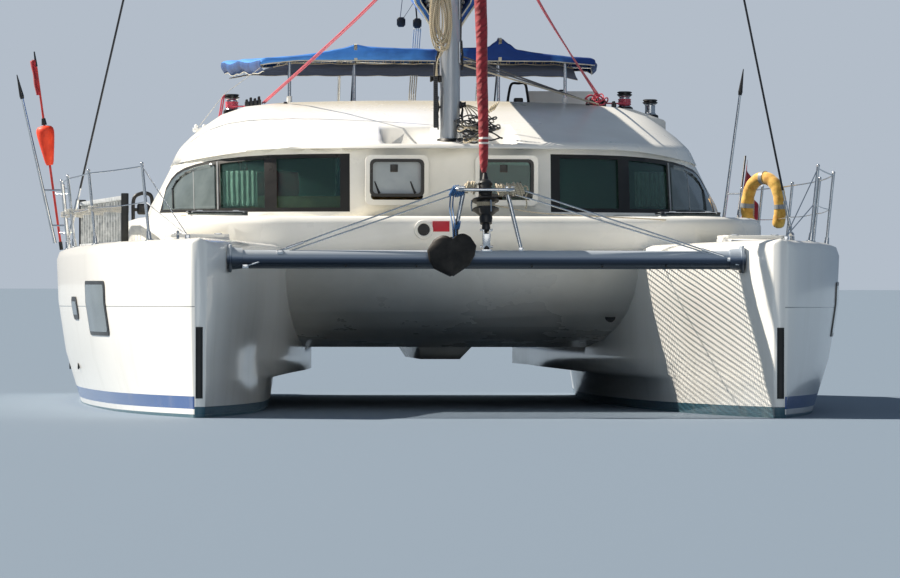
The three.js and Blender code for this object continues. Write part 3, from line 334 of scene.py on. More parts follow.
# Materials

MATERIALS = {}


def linear(code):
    """Turns an sRGB hex colour to linear."""
    parts = [int(code[i:i + 2], 16) / 255 for i in (1, 3, 5)]
    return [c / 12.92 if c <= 0.04045 else ((c + 0.055) / 1.055) ** 2.4 for c in parts] + [1.0]


def fill(node, **named):
    """Sets or links a node's settings and inputs: in_6 is input 6, a string a colour, a node its result."""
    for key, value in named.items():
        socket = int(key[3:]) if key.startswith("in_") else key.replace("_", " ")
        if key == "stops":
            ramp = node.color_ramp.elements
            while len(ramp) < len(value):
                ramp.new(1.0)
            for element, (place, colour) in zip(ramp, value):
                element.position, element.color = place, linear(colour)
        elif key == "interpolation":
            node.color_ramp.interpolation = value
        elif isinstance(socket, str) and socket not in node.inputs:
            setattr(node, key, value)
        elif isinstance(value, bpy.types.Node):
            output = {"MIX": 2, "TEX_WAVE": 1}.get(value.type, 0)
            node.id_data.links.new(value.outputs[output], node.inputs[socket])
        elif isinstance(value, bpy.types.NodeSocket):
            node.id_data.links.new(value, node.inputs[socket])
        else:
            node.inputs[socket].default_value = linear(value) if isinstance(value, str) else value
    return node


def add_node(tree, kind, *values, **named):
    """Adds one node, with values for its first inputs and named ones for the rest."""
    node = tree.nodes.new("ShaderNode" + kind)
    return fill(node, **named, **{f"in_{i}": value for i, value in enumerate(values)})


def start_material(name, **sockets):
    """A new material: what adds its nodes, its shader and the object's own coordinates."""
    material = bpy.data.materials.new(name)
    material.use_nodes = True
    MATERIALS[name] = material
    add = partial(add_node, material.node_tree)
    return add, fill(material.node_tree.nodes["Principled BSDF"], **sockets), add("TexCoord").outputs["Object"]


def toned(name, light, dark, roughness, spot, grain=0.004, relief=0.0,
          spread=0.06, stretch=(1, 1, 1), **sockets):
    """A finish that drifts between two tones over spots this wide, in metres, over a fine relief."""
    add, surface, place = start_material(name, **sockets)
    spread_out = add("Mapping", place, Scale=[1 / (spot * s) for s in stretch])
    drift = add("TexNoise", spread_out, Scale=1.0, Detail=5.0, Roughness=0.6)
    tone = add("ValToRGB", drift, stops=((0.3, dark), (0.65, light)))
    gloss = add("MapRange", drift, 0.25, 0.75, roughness + spread, roughness - spread)
    fill(surface, Base_Color=tone, Roughness=gloss)
    if relief:
        fine = add("TexNoise", place, Scale=1 / grain, Detail=3.0)
        fill(surface, Normal=add("Bump", Strength=0.6, Distance=relief, Height=fine))
    return add, surface, place


def make_hull_paint(colours):
    """White gelcoat with painted boot stripes over antifouling; a moulded joint runs at mid height."""
    add, surface, place = start_material("hull_gelcoat", IOR=1.5, Coat_Weight=0.35, Coat_Roughness=0.08)
    x, y, z = add("SeparateXYZ", place).outputs
    # The stripes fall 3 mm a metre going aft
    trim = add("Math", y, 0.003, -0.003 * STEM_Y, operation="MULTIPLY_ADD")
    height = add("Math", z, trim, operation="ADD")
    # Heights of the stripes' edges, as parts of the ramp's span in metres
    span = 0.5
    outer = ((0.0, colours.antifoul), (0.026, colours.gelcoat), (0.068, colours.stripe),
             (0.166, colours.gelcoat))
    inner = ((0.0, colours.antifoul), (0.085, colours.gelcoat))
    outer, inner = [
        add("ValToRGB", add("Math", height, 1 / span, operation="MULTIPLY", use_clamp=True),
            interpolation="CONSTANT",
            stops=[(edge / span, tone) for edge, tone in stripes])
        for stripes in (outer, inner)
    ]
    outboard = add("Math", add("Math", x, operation="ABSOLUTE"), HULL_X + 0.035, operation="GREATER_THAN")
    paint = add("Mix", outboard, data_type="RGBA", in_6=inner, in_7=outer)
    # Faint runs of grime down the topsides, wider than they are in life so that they show
    long_way = add("Mapping", place, Scale=(3.0, 3.0, 0.35))
    runs = add("TexNoise", long_way, Scale=1.6, Detail=7.0, Roughness=0.62)
    grime = add("MapRange", runs, 0.5, 0.8, 0.0, 0.22)
    low = add("MapRange", z, 0.1, 1.3, 1.0, 0.35)
    amount = add("Math", grime, low, operation="MULTIPLY")
    stained = add("Mix", amount, data_type="RGBA", in_6=paint, in_7="#b9b39c")
    # The moulded joint: 7 mm of shade at 0.857 m, only outboard
    joint = add("Math", height, 0.857, 0.0035, operation="COMPARE")
    joint_here = add("Math", joint, outboard, operation="MULTIPLY")
    lined = add("Mix", joint_here, data_type="RGBA", in_6=stained, in_7="#8f9391")
    add_deck_grip(add, surface, place, z, lined, colours, 1.2)
    fill(surface, Roughness=add("MapRange", height, 0.01, 0.03, 0.75, 0.2))


def add_deck_grip(add, surface, place, z, base, colours, low):
    """Puts the cream, pebbled grip on faces that look straight up, above a height."""
    facing = add("SeparateXYZ", add("NewGeometry").outputs["Normal"]).outputs["Z"]
    flat = add("MapRange", facing, 0.985, 0.995, 0.0, 1.0)
    above = add("Math", z, low, operation="GREATER_THAN")
    where = add("Math", flat, above, operation="MULTIPLY")
    # Pebbles 9 mm apart, twice as coarse as the real ones, so that they show
    pebbles = add("TexVoronoi", place, Scale=1 / 0.009)
    raised = add("MapRange", pebbles, 0.15, 0.55, 1.0, 0.0)
    height = add("Math", raised, where, operation="MULTIPLY")
    bump = add("Bump", Strength=0.7, Distance=0.0006, Height=height)
    cream = add("Mix", where, data_type="RGBA", in_6=base, in_7=colours.deck_grip)
    fill(surface, Base_Color=cream, Normal=bump)


def make_deck_gelcoat(colours):
    """Moulded deck gelcoat, a little chalky, with grip on its flats."""
    add, surface, place = start_material("deck_gelcoat", IOR=1.5, Coat_Weight=0.25, Coat_Roughness=0.12)
    drift = add("TexNoise", place, Scale=1.3, Detail=6.0)
    tone = add("ValToRGB", drift, stops=((0.3, "#e4e3dd"), (0.6, colours.gelcoat)))
    fill(surface, Roughness=add("MapRange", drift, 0.3, 0.7, 0.34, 0.24))
    add_deck_grip(add, surface, place, add("SeparateXYZ", place).outputs["Z"], tone, colours, 0.5)


def make_woven(name, light, dark, roughness, thread, sheen, fold=0.25, sunward_painted_light=0.0):
    """A plain weave with slow folds of tone, lightened toward the starboard side as painted sunlight."""
    add, surface, place = start_material(name, Sheen_Weight=sheen, Sheen_Roughness=0.5)
    waves = [
        add("TexWave", add("Mapping", place, Rotation=(0, 0, turn)), wave_profile="SIN", bands_direction="X",
            Scale=0.16 / thread, Distortion=0.6)
        for turn in (0.0, pi / 2)
    ]
    weave = add("Math", *waves, operation="MULTIPLY")
    drift = add("TexNoise", place, Scale=1 / fold, Detail=5.0)
    # Painted sunlight and shade: the tone leans lighter toward starboard and darker toward port
    side = add("SeparateXYZ", place).outputs["X"]
    painted_sunlight_tone = add("MapRange", side, 0.35, -0.35, -sunward_painted_light, sunward_painted_light)
    amount = add("Math", drift, painted_sunlight_tone, operation="ADD")
    tone = add("ValToRGB", amount, stops=((0.3, dark), (0.68, light)))
    shade = add("Mix", weave, data_type="RGBA", blend_type="MULTIPLY", in_6=tone, in_7=(0.8, 0.8, 0.8, 1))
    fill(
        surface, Base_Color=shade,
        Roughness=add("MapRange", drift, To_Min=roughness - 0.05, To_Max=roughness + 0.05),
        Normal=add("Bump", Strength=0.5, Distance=thread * 0.3, Height=weave),
    )


def make_rope(name, light, dark, pitch=0.05):
    """Braided rope: bands that wind round the rope's own UVs, one turn each pitch."""
    add, surface, _ = start_material(name, Sheen_Weight=0.3, Roughness=0.85)
    around, along, _ = add("SeparateXYZ", add("UVMap")).outputs
    twist = add("Math", around, add("Math", along, 1 / pitch, operation="MULTIPLY"), operation="ADD")
    band = add("Math", add("Math", twist, 3 * tau, operation="MULTIPLY"), operation="SINE")
    tone = add("ValToRGB", add("MapRange", band, From_Min=-1.0), stops=((0.25, dark), (0.75, light)))
    bump = add("Bump", Strength=0.8, Distance=0.0012, Height=band)
    fill(surface, Base_Color=tone, Normal=bump)


def make_net(colours):
    """Square knotless netting: holes 40 mm apart, cords 11 mm across, three times life size to show."""
    add, surface, place = start_material("net_polyester", Roughness=0.85)
    across = add("SeparateXYZ", add("Mapping", place, Scale=(1 / 0.04,) * 3)).outputs
    cords = [
        add("Math", add("Math", across[axis], operation="FRACT"), 0.28, operation="LESS_THAN")
        for axis in ("X", "Y")
    ]
    drift = add("TexNoise", place, Scale=3.0, Detail=4.0)
    fill(
        surface, Alpha=add("Math", *cords, operation="MAXIMUM"),
        Base_Color=add("ValToRGB", drift, stops=((0.3, "#b9b7ac"), (0.7, colours.net))),
    )


def make_rolled_sail(colours):
    """Red sun strip of a rolled headsail: fine creases climbing round the roll, each darkened as painted shade,
    two white bands at its foot.
    """
    add, surface, place = start_material("sail_strip_painted_crease_shade", Sheen_Weight=0.15, Roughness=0.75)
    drift = add("TexNoise", place, Scale=9.0, Detail=6.0)
    # A crease every 45 mm, twice as far apart as in life, climbing 40 degrees; the creases are darkened as
    # painted shade
    crease = add(
        "TexWave", add("Mapping", place, Rotation=(0, radians(40), 0)), wave_profile="SIN",
        bands_direction="Z", Scale=0.31 / 0.045, Distortion=5.0, Detail=3.0, Detail_Scale=2.0,
    )
    tone = add("ValToRGB", drift, stops=((0.3, colours.sail_shade), (0.7, colours.sail)))
    # Painted shade: each crease darkens the strip toward deep red
    fold = add("MapRange", crease, From_Min=0.75, To_Max=0.6)
    creases_painted_shade = add("Mix", fold, data_type="RGBA", in_6=tone, in_7="#5d1119")
    height = add("SeparateXYZ", place).outputs["Z"]
    bands = [add("Math", height, z, 0.008, operation="COMPARE") for z in (2.137, 2.176)]
    band = add("Math", *bands, operation="MAXIMUM")
    fill(
        surface, Base_Color=add("Mix", band, data_type="RGBA", in_6=creases_painted_shade, in_7="#e3d9d2"),
        Normal=add("Bump", Strength=0.8, Distance=0.004, Height=crease),
    )


def make_glazing(name, tint, depth_of_tint, roughness):
    """Cast acrylic, tinted in the mass, with the faint haze of old sheet."""
    add, surface, place = start_material(name, IOR=1.49, Transmission_Weight=depth_of_tint, Base_Color=tint)
    haze = add("TexNoise", place, Scale=6.0, Detail=3.0)
    fill(surface, Roughness=add("MapRange", haze, To_Min=roughness, To_Max=roughness + 0.05))


def make_beam_enamel(colours):
    """Blue-grey paint over alloy, with painted light and shade by height: pale on top, dark beneath."""
    add, surface, place = toned(
        "beam_paint_painted_shade", colours.beam, "#a9b4c1", 0.3, 0.5, 0.003, 0.0001, stretch=(4, 1, 1), Metallic=0.15,
    )
    # Painted light and shade by height: the paint is left pale on top and darkened through blue to near black
    # beneath
    rise = add("MapRange", add("SeparateXYZ", place).outputs["Z"], 1.165, 1.285)
    tint = add("ValToRGB", rise, stops=(
        (0.1, "#5d6266"), (0.22, "#2a3644"), (0.45, "#42546c"), (0.62, "#93a3b8"), (0.8, "#ffffff")))
    plain = surface.inputs["Base Color"].links[0].from_socket
    fill(surface, Base_Color=add("Mix", 1.0, data_type="RGBA", blend_type="MULTIPLY", in_6=plain, in_7=tint))


def make_materials(colours):
    """Makes every finish, each from what the real one is."""
    for make in (make_hull_paint, make_deck_gelcoat, make_beam_enamel, make_rolled_sail, make_net):
        make(colours)
    # Moulded gelcoat without grip: lids, console, linings
    toned("liner_gelcoat", colours.gelcoat, "#e2e1da", 0.28, 0.8, spread=0.05, IOR=1.5, Coat_Weight=0.25)
    # Rolled antifouling: dead flat, with the roller's stipple
    toned("antifouling", colours.antifoul, "#23404b", 0.8, 0.3, 0.006, 0.0006)
    # Black anodised window surround: a satin black with a dull sheen
    toned("window_surround", "#2a2826", "#131313", 0.32, 0.4, spread=0.08)
    # Windows and hatches: green-grey tint, clear enough to show the curtains, and near-opaque smoke
    make_glazing("tinted_acrylic", "#93c4bb", 0.97, 0.02)
    make_glazing("smoked_acrylic", "#55605f", 0.8, 0.03)
    # Acrylic seen so flat that it mirrors the sky over a drawn curtain; its grey is that reflection, painted
    # into its colour
    toned("hazed_pane_painted_reflection", "#687273", "#525c5d", 0.12, 0.25, spread=0.03, Coat_Weight=0.6, Coat_Roughness=0.03)
    # Clear acrylic drawn opaque, with the sky seen through the door behind it painted in as its colour
    toned("sky_pane", "#97a2a9", "#87929a", 0.12, 0.3, spread=0.03, Coat_Weight=0.6, Coat_Roughness=0.03)
    # Clear anodised spar: satin, faintly streaked along its length
    toned("anodised_spar", "#c3c7cb", "#a7acb2", 0.38, 0.05, 0.002, 0.00008, 0.06, (1, 1, 14), Metallic=0.75)
    # Electropolished stainless tube
    toned("stainless_tube", "#d6d8da", "#b9bcc0", 0.2, 0.12, spread=0.07, Metallic=1.0)
    # Stranded wire in black covers
    toned("wire_cover", "#23272f", "#14171c", 0.5, 0.06)
    # Solution-dyed acrylic canvas, drawn at 5 mm a thread so that it shows, and lightened toward starboard as
    # painted sunlight
    make_woven("acrylic_canvas", colours.canvas, colours.canvas_shade, 0.85, 0.005, 0.05, sunward_painted_light=0.25)
    # The same canvas darkened as painted shade: deeper blue at the hanging edges, dark navy for its underside
    make_woven("canvas_edge_painted_shade", "#20528f", "#12356c", 0.85, 0.005, 0.05)
    make_woven("canvas_navy_and_painted_shade", "#22345a", "#14203c", 0.9, 0.005, 0.0)
    # Soft napped seat cover; cotton and linen curtains; thin flag nylon
    make_woven("red_upholstery", "#a82638", "#7a1a29", 0.9, 0.006, 0.5, 0.08)
    make_woven("curtain_cotton", "#d9d6c6", "#bdb9a8", 0.9, 0.004, 0.3, 0.05)
    make_woven("curtain_linen", "#857c77", "#68605c", 0.9, 0.004, 0.2, 0.05)
    make_woven("flag_nylon", "#c42334", "#8b1120", 0.7, 0.003, 0.3, 0.1)
    # Black moulded and hard anodised fittings; black rubber, greyed and pitted
    toned("black_fitting", "#1c1d1f", "#0f1011", 0.42, 0.05, 0.002, 0.0001)
    toned("rubber_strip", "#17191a", "#0c0d0d", 0.55, 0.12, 0.003, 0.0003)
    # Galvanised steel, dull and darkened to a brownish near black; rubbed bronze; engine's grey enamel
    toned("darkened_galvanised", "#2b2723", "#0f0d0b", 0.65, 0.09, 0.003, 0.0008, Metallic=0.25)
    toned("cast_bronze", "#a07c42", "#6f5427", 0.4, 0.06, 0.003, 0.0002, Metallic=1.0)
    toned("engine_enamel", "#98a0a4", "#7e868b", 0.5, 0.2, 0.004, 0.0002)
    # Marker's skinned foam, glass-fibre pole in a red gelcoat, and a plank's worn white enamel
    toned("orange_foam", colours.float_orange, "#d92d10", 0.55, 0.12, 0.003, 0.0002)
    toned("pole_red", "#d43a2e", "#a32018", 0.35, 0.05)
    toned("plank_enamel", "#c3c7c9", "#7f858a", 0.45, 0.06, 0.003, 0.0002)
    # Buoy's sun-worn vinyl cover; satin grey trim; a bare plate's red paint; teak, grained fore and aft
    toned("yellow_cover", "#f0c258", "#b9822a", 0.75, 0.07, 0.004, 0.0008, Sheen_Weight=0.3)
    toned("grey_trim", "#9a9ea1", "#84898d", 0.4, 0.1)
    toned("red_plate", "#c8102e", "#b30f28", 0.35, 0.2)
    toned("teak_step", "#a67c52", "#83603e", 0.7, 0.05, 0.003, 0.0003, stretch=(1, 8, 1))
    # Braided polyester: halyards, sheets and lashings
    for name, light, dark in (
        ("beige", "#d8ccb2", "#a3957a"), ("red", "#e2566b", "#b02b45"), ("blue", "#2f6fa8", "#123a66"),
        ("dark", "#3b4048", "#15181d"), ("white", "#e6e3dc", "#b7b3a8"),
    ):
        make_rope(f"rope_{name}", light, dark)


# The hulls

SURFACES = {}


def surface(node):
    """A search tree of a CAD node's faces."""
    if node not in SURFACES:
        mesh = frame["nodes"][node].data
        corners = [v.co for v in mesh.vertices]
        SURFACES[node] = BVHTree.FromPolygons(corners, [p.vertices for p in mesh.polygons])
    return SURFACES[node]


def onto(node, start, toward):
    """The first point of a node that a ray meets."""
    place = surface(node).ray_cast(Vector(start), Vector(toward))[0]
    if place is None:
        raise RuntimeError(f"the ray from {tuple(start)} misses {node}")
    return place


def on_roof(x, back):
    """The point of the coachroof under this place."""
    return onto("coachroof", spot(x, back, 3), (0, 0, -1))


def side_patch(bm, side, sign, start, end, low, high, out, thick, corner):
    """Adds a plate that follows the hull's outboard side, its corners rounded."""
    def place(u, v):
        z = low + (high - low) * (0.5 - 0.5 * cos(pi * v))
        near = min(z - low, high - z)
        pinch = corner - sqrt(max(corner ** 2 - (corner - near) ** 2, 0)) if near < corner else 0
        return on_side(side, sign, start + pinch + (end - start - 2 * pinch) * u, z, out)

    made = sheet_grid(bm, 12, 16, place)
    thrust(bm, faces_of(made), (sign * thick, 0, 0))


def on_side(side, sign, back, height, out=0.0):
    """A point on a hull's outboard side, moved out by a distance."""
    return onto(f"hull_{side}", (sign * 4, aft(back), height), (-sign, 0, 0)) + vec(sign * out, 0, 0)


def build_hulls():
    for side, sign in SIDES:
        skin(f"hull_{side}", "hull_gelcoat", 32)
        # Rubber strip round the stem
        bm = bmesh.new()
        x, y = HULL_X * sign, STEM_Y - 0.004
        heights = (0.15, 0.16, 0.4, 0.69, 0.7)
        for low, high in zip(heights, heights[1:]):
            outline = [(x + 0.052 * cos(a), y + 0.055 - 0.062 * sin(a), low) for a in angles(8, 0.5)]
            outline += [(x - 0.04, y + 0.06, low), (x + 0.04, y + 0.06, low)]
            plate(bm, outline, (0, 0, high - low))
        finished(f"bow_strip_{side}", bm, "rubber_strip")
        # Portlights: start, end, foot and head, how far out, thickness and corner of each patch
        for piece, material, slot, patches in (
            ("frame", "window_surround", "alloy", (
                (1.98, 2.97, 0.615, 1.055, -0.004, 0.012, 0.05),
                (3.72, 4.2, 0.735, 0.925, -0.004, 0.012, 0.09))),
            # The portlights' glass is grey with the sky's reflection painted in
            ("glass", "hazed_pane_painted_reflection", None, (
                (2.02, 2.93, 0.645, 1.025, 0.002, 0.009, 0.04),
                (3.77, 4.15, 0.775, 0.885, 0.002, 0.009, 0.05))),
        ):
            bm = bmesh.new()
            for patch in patches:
                side_patch(bm, side, sign, *patch)
            finished(f"portlight_{piece}_{side}", bm, material)
        bm = bmesh.new()
        for back, z in ((4.75, 0.34), (7.9, 0.3)):
            point = on_side(side, sign, back, z)
            turned(bm, [(-0.01, 0), (-0.01, 0.016), (0.012, 0.018), (0.014, 0.026), (0, 0.03)], point,
                   point + vec(sign, 0, 0), 16)
        finished(f"hull_fittings_{side}", bm, "black_fitting")
        bm = bmesh.new()
        for back, x, z in ((0.52, 2.4, 1.38), (6.9, 3.12, 1.345), (9.1, 3.1, 1.345)):
            # A horn cleat that lies fore and aft on the deck
            foot, length = spot(sign * x, back, z), 0.24
            for step in (-1, 1):
                leg = foot + vec(0, step * length * 0.18, 0)
                rod(bm, leg - up(0.01), leg + up(0.038), 0.011, 0.009, 10)
            parts = (-0.5, -0.4, -0.2, 0, 0.2, 0.4, 0.5)
            swept(bm, [foot + vec(0, length * t, 0.045 + 0.01 * cos(t * 5)) for t in parts],
                  [0.005, 0.009, 0.012, 0.013, 0.012, 0.009, 0.005])
        finished(f"cleats_{side}", bm, "stainless_tube")
        # Underwater parts and the engine
        for part, material in (
            ("keel", "antifouling"), ("rudder", "antifouling"), ("saildrive", "engine_enamel"),
            ("propeller", "cast_bronze"), ("engine", "engine_enamel"),
        ):
            coat(f"{part}_{side}", material)


# Deck and cabin


def build_decks():
    skin("bridgedeck", "liner_gelcoat", 55)
    skin("deck_plinth", "deck_gelcoat", 32)
    bm = bmesh.new()
    # Round fitting on the nacelle's front, and a flat black disc for the chain's outlet on the raised deck: the
    # outlet's dark opening as painted shade
    turned(bm, [(0, 0), (0, 0.036), (0.006, 0.042), (-0.02, 0.044)],
           spot(1.266, 3.525, 0.762), spot(1.266, 3.3, 0.7), 20)
    turned(bm, [(0, 0), (0, 0.05)], spot(-0.322, 2.942, 1.478), spot(-0.322, 2.0, 1.478), 24)
    finished("deck_outlets", bm, "black_fitting")
    bm = bmesh.new()
    turned(bm, [(-0.03, 0.05), (0.008, 0.05), (0.016, 0.058), (0.014, 0.076), (-0.03, 0.082)],
           spot(-0.322, 2.945, 1.478), spot(-0.322, 2.0, 1.478))
    finished("chain_outlet_ring", bm, "liner_gelcoat")
    bm = bmesh.new()
    box(bm, spot(-0.249, 2.951, 1.462), spot(-0.11, 2.946, 1.548), 0.002)
    finished("blank_patch", bm, "red_plate")
    for side, _ in SIDES:
        # Lids with a latch aft and two hinges ahead
        for node in (f"bow_lid_{side}", f"engine_lid_{side}"):
            soften = skin(node, "liner_gelcoat", 25).modifiers.new("edge", "BEVEL")
            soften.width, soften.segments = 0.006, 3
            low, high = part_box(node)
            x = (low.x + high.x) / 2
            bm = bmesh.new()
            block(bm, (x, high.y - 0.09, high.z), (0.05, 0.022, 0.004), 0.003)
            for hinge in (x - 0.16, x + 0.16):
                box(bm, (hinge - 0.03, low.y + 0.004, high.z - 0.004),
                    (hinge + 0.03, low.y + 0.05, high.z + 0.007), 0.003)
            finished(f"{node}_hardware", bm, "stainless_tube", body=node)
        node, rim = f"deck_hatch_{side}", 0.035
        coat(node, "smoked_acrylic")
        low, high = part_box(node)
        bm = bmesh.new()
        for x0, y0, x1, y1 in (
            (low.x, low.y, high.x, low.y + rim), (high.x, low.y, high.x - rim, high.y),
            (high.x, high.y, low.x, high.y - rim), (low.x, high.y, low.x + rim, low.y),
        ):
            box(bm, (x0, y0, high.z - 0.012), (x1, y1, high.z + 0.005), 0.003)
        for x in ((low.x + high.x) / 2 - 0.15, (low.x + high.x) / 2 + 0.15):
            box(bm, (x - 0.025, low.y + 0.002, high.z), (x + 0.025, low.y + 0.06, high.z + 0.012), 0.003)
        finished(f"hatch_rim_{side}", bm, "anodised_spar", body=node)


# Top edge of the side window's band: distance from the centreline and height
BAND_TOP = (
    (1.7, 2.112), (1.86, 2.098), (1.99, 2.08), (2.1, 2.056), (2.19, 2.026), (2.25, 1.99), (2.295, 1.94),
    (2.34, 1.86), (2.385, 1.7),
)


def on_band(side, sign, x, low, under, part, out=0.003):
    """A point just ahead of the side window's band, this part of the way from low to under its top edge."""
    z = low + (at_row(BAND_TOP, x)[0] - under - low) * part
    found = [surface(f"{node}_{side}").ray_cast(spot(sign * x, 3, z), vec(0, 1, 0))[0]
             for node in ("window_frame", "window_glass")]
    return min((p for p in found if p), key=lambda p: p.y, default=spot(sign * x, 6.2, z)) - vec(0, out, 0)


def build_cabin():
    skin("cabin_walls", "liner_gelcoat", 30)
    skin("coachroof", "deck_gelcoat", 38)
    skin("aft_bulkhead", "liner_gelcoat", 25)
    for side, sign in SIDES:
        skin(f"window_frame_{side}", "window_surround", 30)
        # Real panes let the sun in; here they would shade the saloon
        skin(f"window_glass_{side}", "tinted_acrylic", 30).visible_shadow = False
        # The rearmost pane, its colour a painted reflection of the sky, and the pale mullion before it
        bm = bmesh.new()
        sheet_grid(bm, 40, 24, lambda u, v: on_band(side, sign, 1.948 + 0.424 * u, 1.668, 0.024, v))
        thicken(finished(f"outer_pane_{side}", bm, "hazed_pane_painted_reflection", sharp=60), 0.003)
        bm = bmesh.new()
        for x, radius in ((1.925, 0.008), (2.12, 0.004)):
            swept(bm, [on_band(side, sign, x, 1.665, 0.02, k / 12, 0.007) for k in range(13)], radius, 8)
        finished(f"pane_trim_{side}", bm, "grey_trim")


def build_front_windows():
    low_z, high_z, front = 1.762, 2.082, aft(4.245)
    for side, sign in SIDES:
        x0, x1 = sorted((sign * 0.23, sign * 0.69))
        bm = bmesh.new()
        # White moulded surround, black gasket and frame, glass
        ring(bm, x0 - 0.034, x1 + 0.034, low_z - 0.07, high_z + 0.03, 0.046, front - 0.033, front + 0.02, 0.05)
        finished(f"window_surround_{side}", bm, "liner_gelcoat", node=f"front_window_{side}")
        bm = bmesh.new()
        ring(bm, x0 + 0.002, x1 - 0.002, low_z + 0.002, high_z - 0.002,
             0.026, front - 0.036, front + 0.03, 0.045)
        # Slanted handles at the lower corners and the square latch at the top
        for x in (x0 + 0.075, x1 - 0.085):
            swept(bm, [(x - 0.03, front + 0.003, low_z + 0.13), (x, front + 0.002, low_z + 0.05),
                       (x + 0.01, front + 0.003, low_z + 0.03)], [0.005, 0.009, 0.012], 8)
        middle = (x0 + x1) / 2 - 0.023
        block(bm, (middle, front + 0.0075, high_z - 0.08), (0.032, 0.0085, 0.032), 0.004)
        finished(f"window_gasket_{side}", bm, "window_surround")
        bm = bmesh.new()
        box(bm, (x0 + 0.015, front + 0.006, low_z + 0.015), (x1 - 0.015, front + 0.014, high_z - 0.015))
        # The starboard pane's colour is the sky seen through it, painted in; the port pane is tinted glass
        finished(f"window_pane_{side}", bm, "sky_pane" if sign < 0 else "tinted_acrylic")


def rounded_outline(x0, x1, z0, z1, corner, y):
    """Points round a rectangle with round corners, in a plane across the boat."""
    return [
        vec(x + corner * cos(angle), y, z + corner * sin(angle))
        for x, z, start in (
            (x1 - corner, z1 - corner, 0), (x0 + corner, z1 - corner, 1),
            (x0 + corner, z0 + corner, 2), (x1 - corner, z0 + corner, 3),
        )
        for angle in [pi / 2 * (start + step / 4) for step in range(5)]
    ]


def ring(bm, x0, x1, z0, z1, width, y0, y1, corner):
    """Adds a flat frame with round corners."""
    edges = []
    for inset, bend in ((0, corner), (width, max(corner - width * 0.5, 0.005))):
        outline = rounded_outline(x0 + inset, x1 - inset, z0 + inset, z1 - inset, bend, y0)
        line = [bm.verts.new(p) for p in outline]
        edges += [bm.edges.new(pair) for pair in zip(line, line[1:] + line[:1])]
    thrust(bm, bmesh.ops.bridge_loops(bm, edges=edges)["faces"], (0, y1 - y0, 0))


# Foredeck gear

BEAM_Y = aft(0.45)
BEAM_Z = 1.23


def on_stay(z):
    """A point on the forestay at a height."""
    foot, head = vec(0, BEAM_Y, 1.296), spot(0, 4.364, 15.0)
    return foot.lerp(head, (z - foot.z) / (head.z - foot.z))


def circle(centre, radius, count, rise=0.0):
    """Points of a level turn round a centre."""
    return [Vector(centre) + vec(radius * cos(a), radius * sin(a), rise) for a in angles(count)]


def build_crossbeam():
    bm = bmesh.new()
    y, z, reach = BEAM_Y, BEAM_Z, 2.03
    rod(bm, (-reach, y, z), (reach, y, z), 0.066, sides=40)
    # Track for the net's lacing under and behind the beam
    box(bm, (-1.96, y + 0.045, z - 0.058), (1.96, y + 0.075, z - 0.034), 0.004)
    box(bm, (-1.96, y - 0.012, z - 0.078), (1.96, y + 0.012, z - 0.06), 0.003)
    finished("crossbeam_tube", bm, "beam_paint_painted_shade", node="crossbeam")
    bm = bmesh.new()
    for sign in (-1, 1):
        rod(bm, (sign * 1.9, y, z), (sign * 2.02, y, z), 0.078, 0.092, 32)
        box(bm, (sign * 1.985, y - 0.1, z - 0.11), (sign * 2.01, y + 0.1, z + 0.11), 0.02, 3)
    finished("beam_sockets", bm, "beam_paint_painted_shade")
    bm = bmesh.new()
    # Anchor roller: cheeks and a base
    cheek = ((0.3, 1.335), (0.36, 1.285), (0.56, 1.285), (0.56, 1.31), (0.42, 1.345), (0.34, 1.35))
    for x in (-0.3, -0.206):
        plate(bm, [spot(x, *point) for point in cheek], (0.006, 0, 0))
    box(bm, spot(-0.3, 0.36, 1.285), spot(-0.2, 0.56, 1.292), 0.002)
    # Lugs of the striker's feet and the forestay
    for x in (-0.268, 0.268):
        box(bm, (x - 0.02, y - 0.02, z + 0.055), (x + 0.02, y + 0.02, z + 0.09), 0.004)
    box(bm, (-0.045, y - 0.04, z + 0.055), (0.045, y + 0.04, z + 0.075), 0.005)
    for x, rise in ((-1.88, -0.062), (-1.61, 0.05), (1.9, 0.0), (1.965, -0.03)):
        box(bm, (x - 0.025, y - 0.075, z + rise - 0.016), (x + 0.025, y - 0.01, z + rise + 0.016), 0.005)
    finished("beam_fittings", bm, "stainless_tube")
    bm = bmesh.new()
    for back, height in ((0.335, 1.318), (0.5, 1.306)):
        turned(bm, [(0, 0.022), (0.02, 0.012), (0.044, 0.012), (0.064, 0.022), (0.064, 0), (0, 0)],
               spot(-0.284, back, height), spot(0, back, height), 20)
    for x in (-1.1, -0.55, 0.35, 0.9, 1.4):
        rod(bm, (x, y - 0.04, z - 0.056), (x, y - 0.062, z - 0.058), 0.008, sides=10)
    finished("beam_rollers", bm, "black_fitting")


# Half width of the net at distances aft
NET_EDGE = ((0.52, 1.965), (0.7, 1.92), (1.2, 1.8), (1.7, 1.7), (2.2, 1.615), (2.6, 1.53), (2.95, 1.46))


def on_net(u, v):
    """A point on the net: level across the boat, sagging between its edges."""
    back = 0.56 + (2.9 - 0.56) * v
    x = (u * 2 - 1) * at_row(NET_EDGE, back)[0]
    dip = 0.035 * (1 - (u * 2 - 1) ** 2) * sin(pi * v)
    return spot(x, back, 1.262 - dip + 0.003 * noise.noise(vec(x * 3, back * 3, 0)))


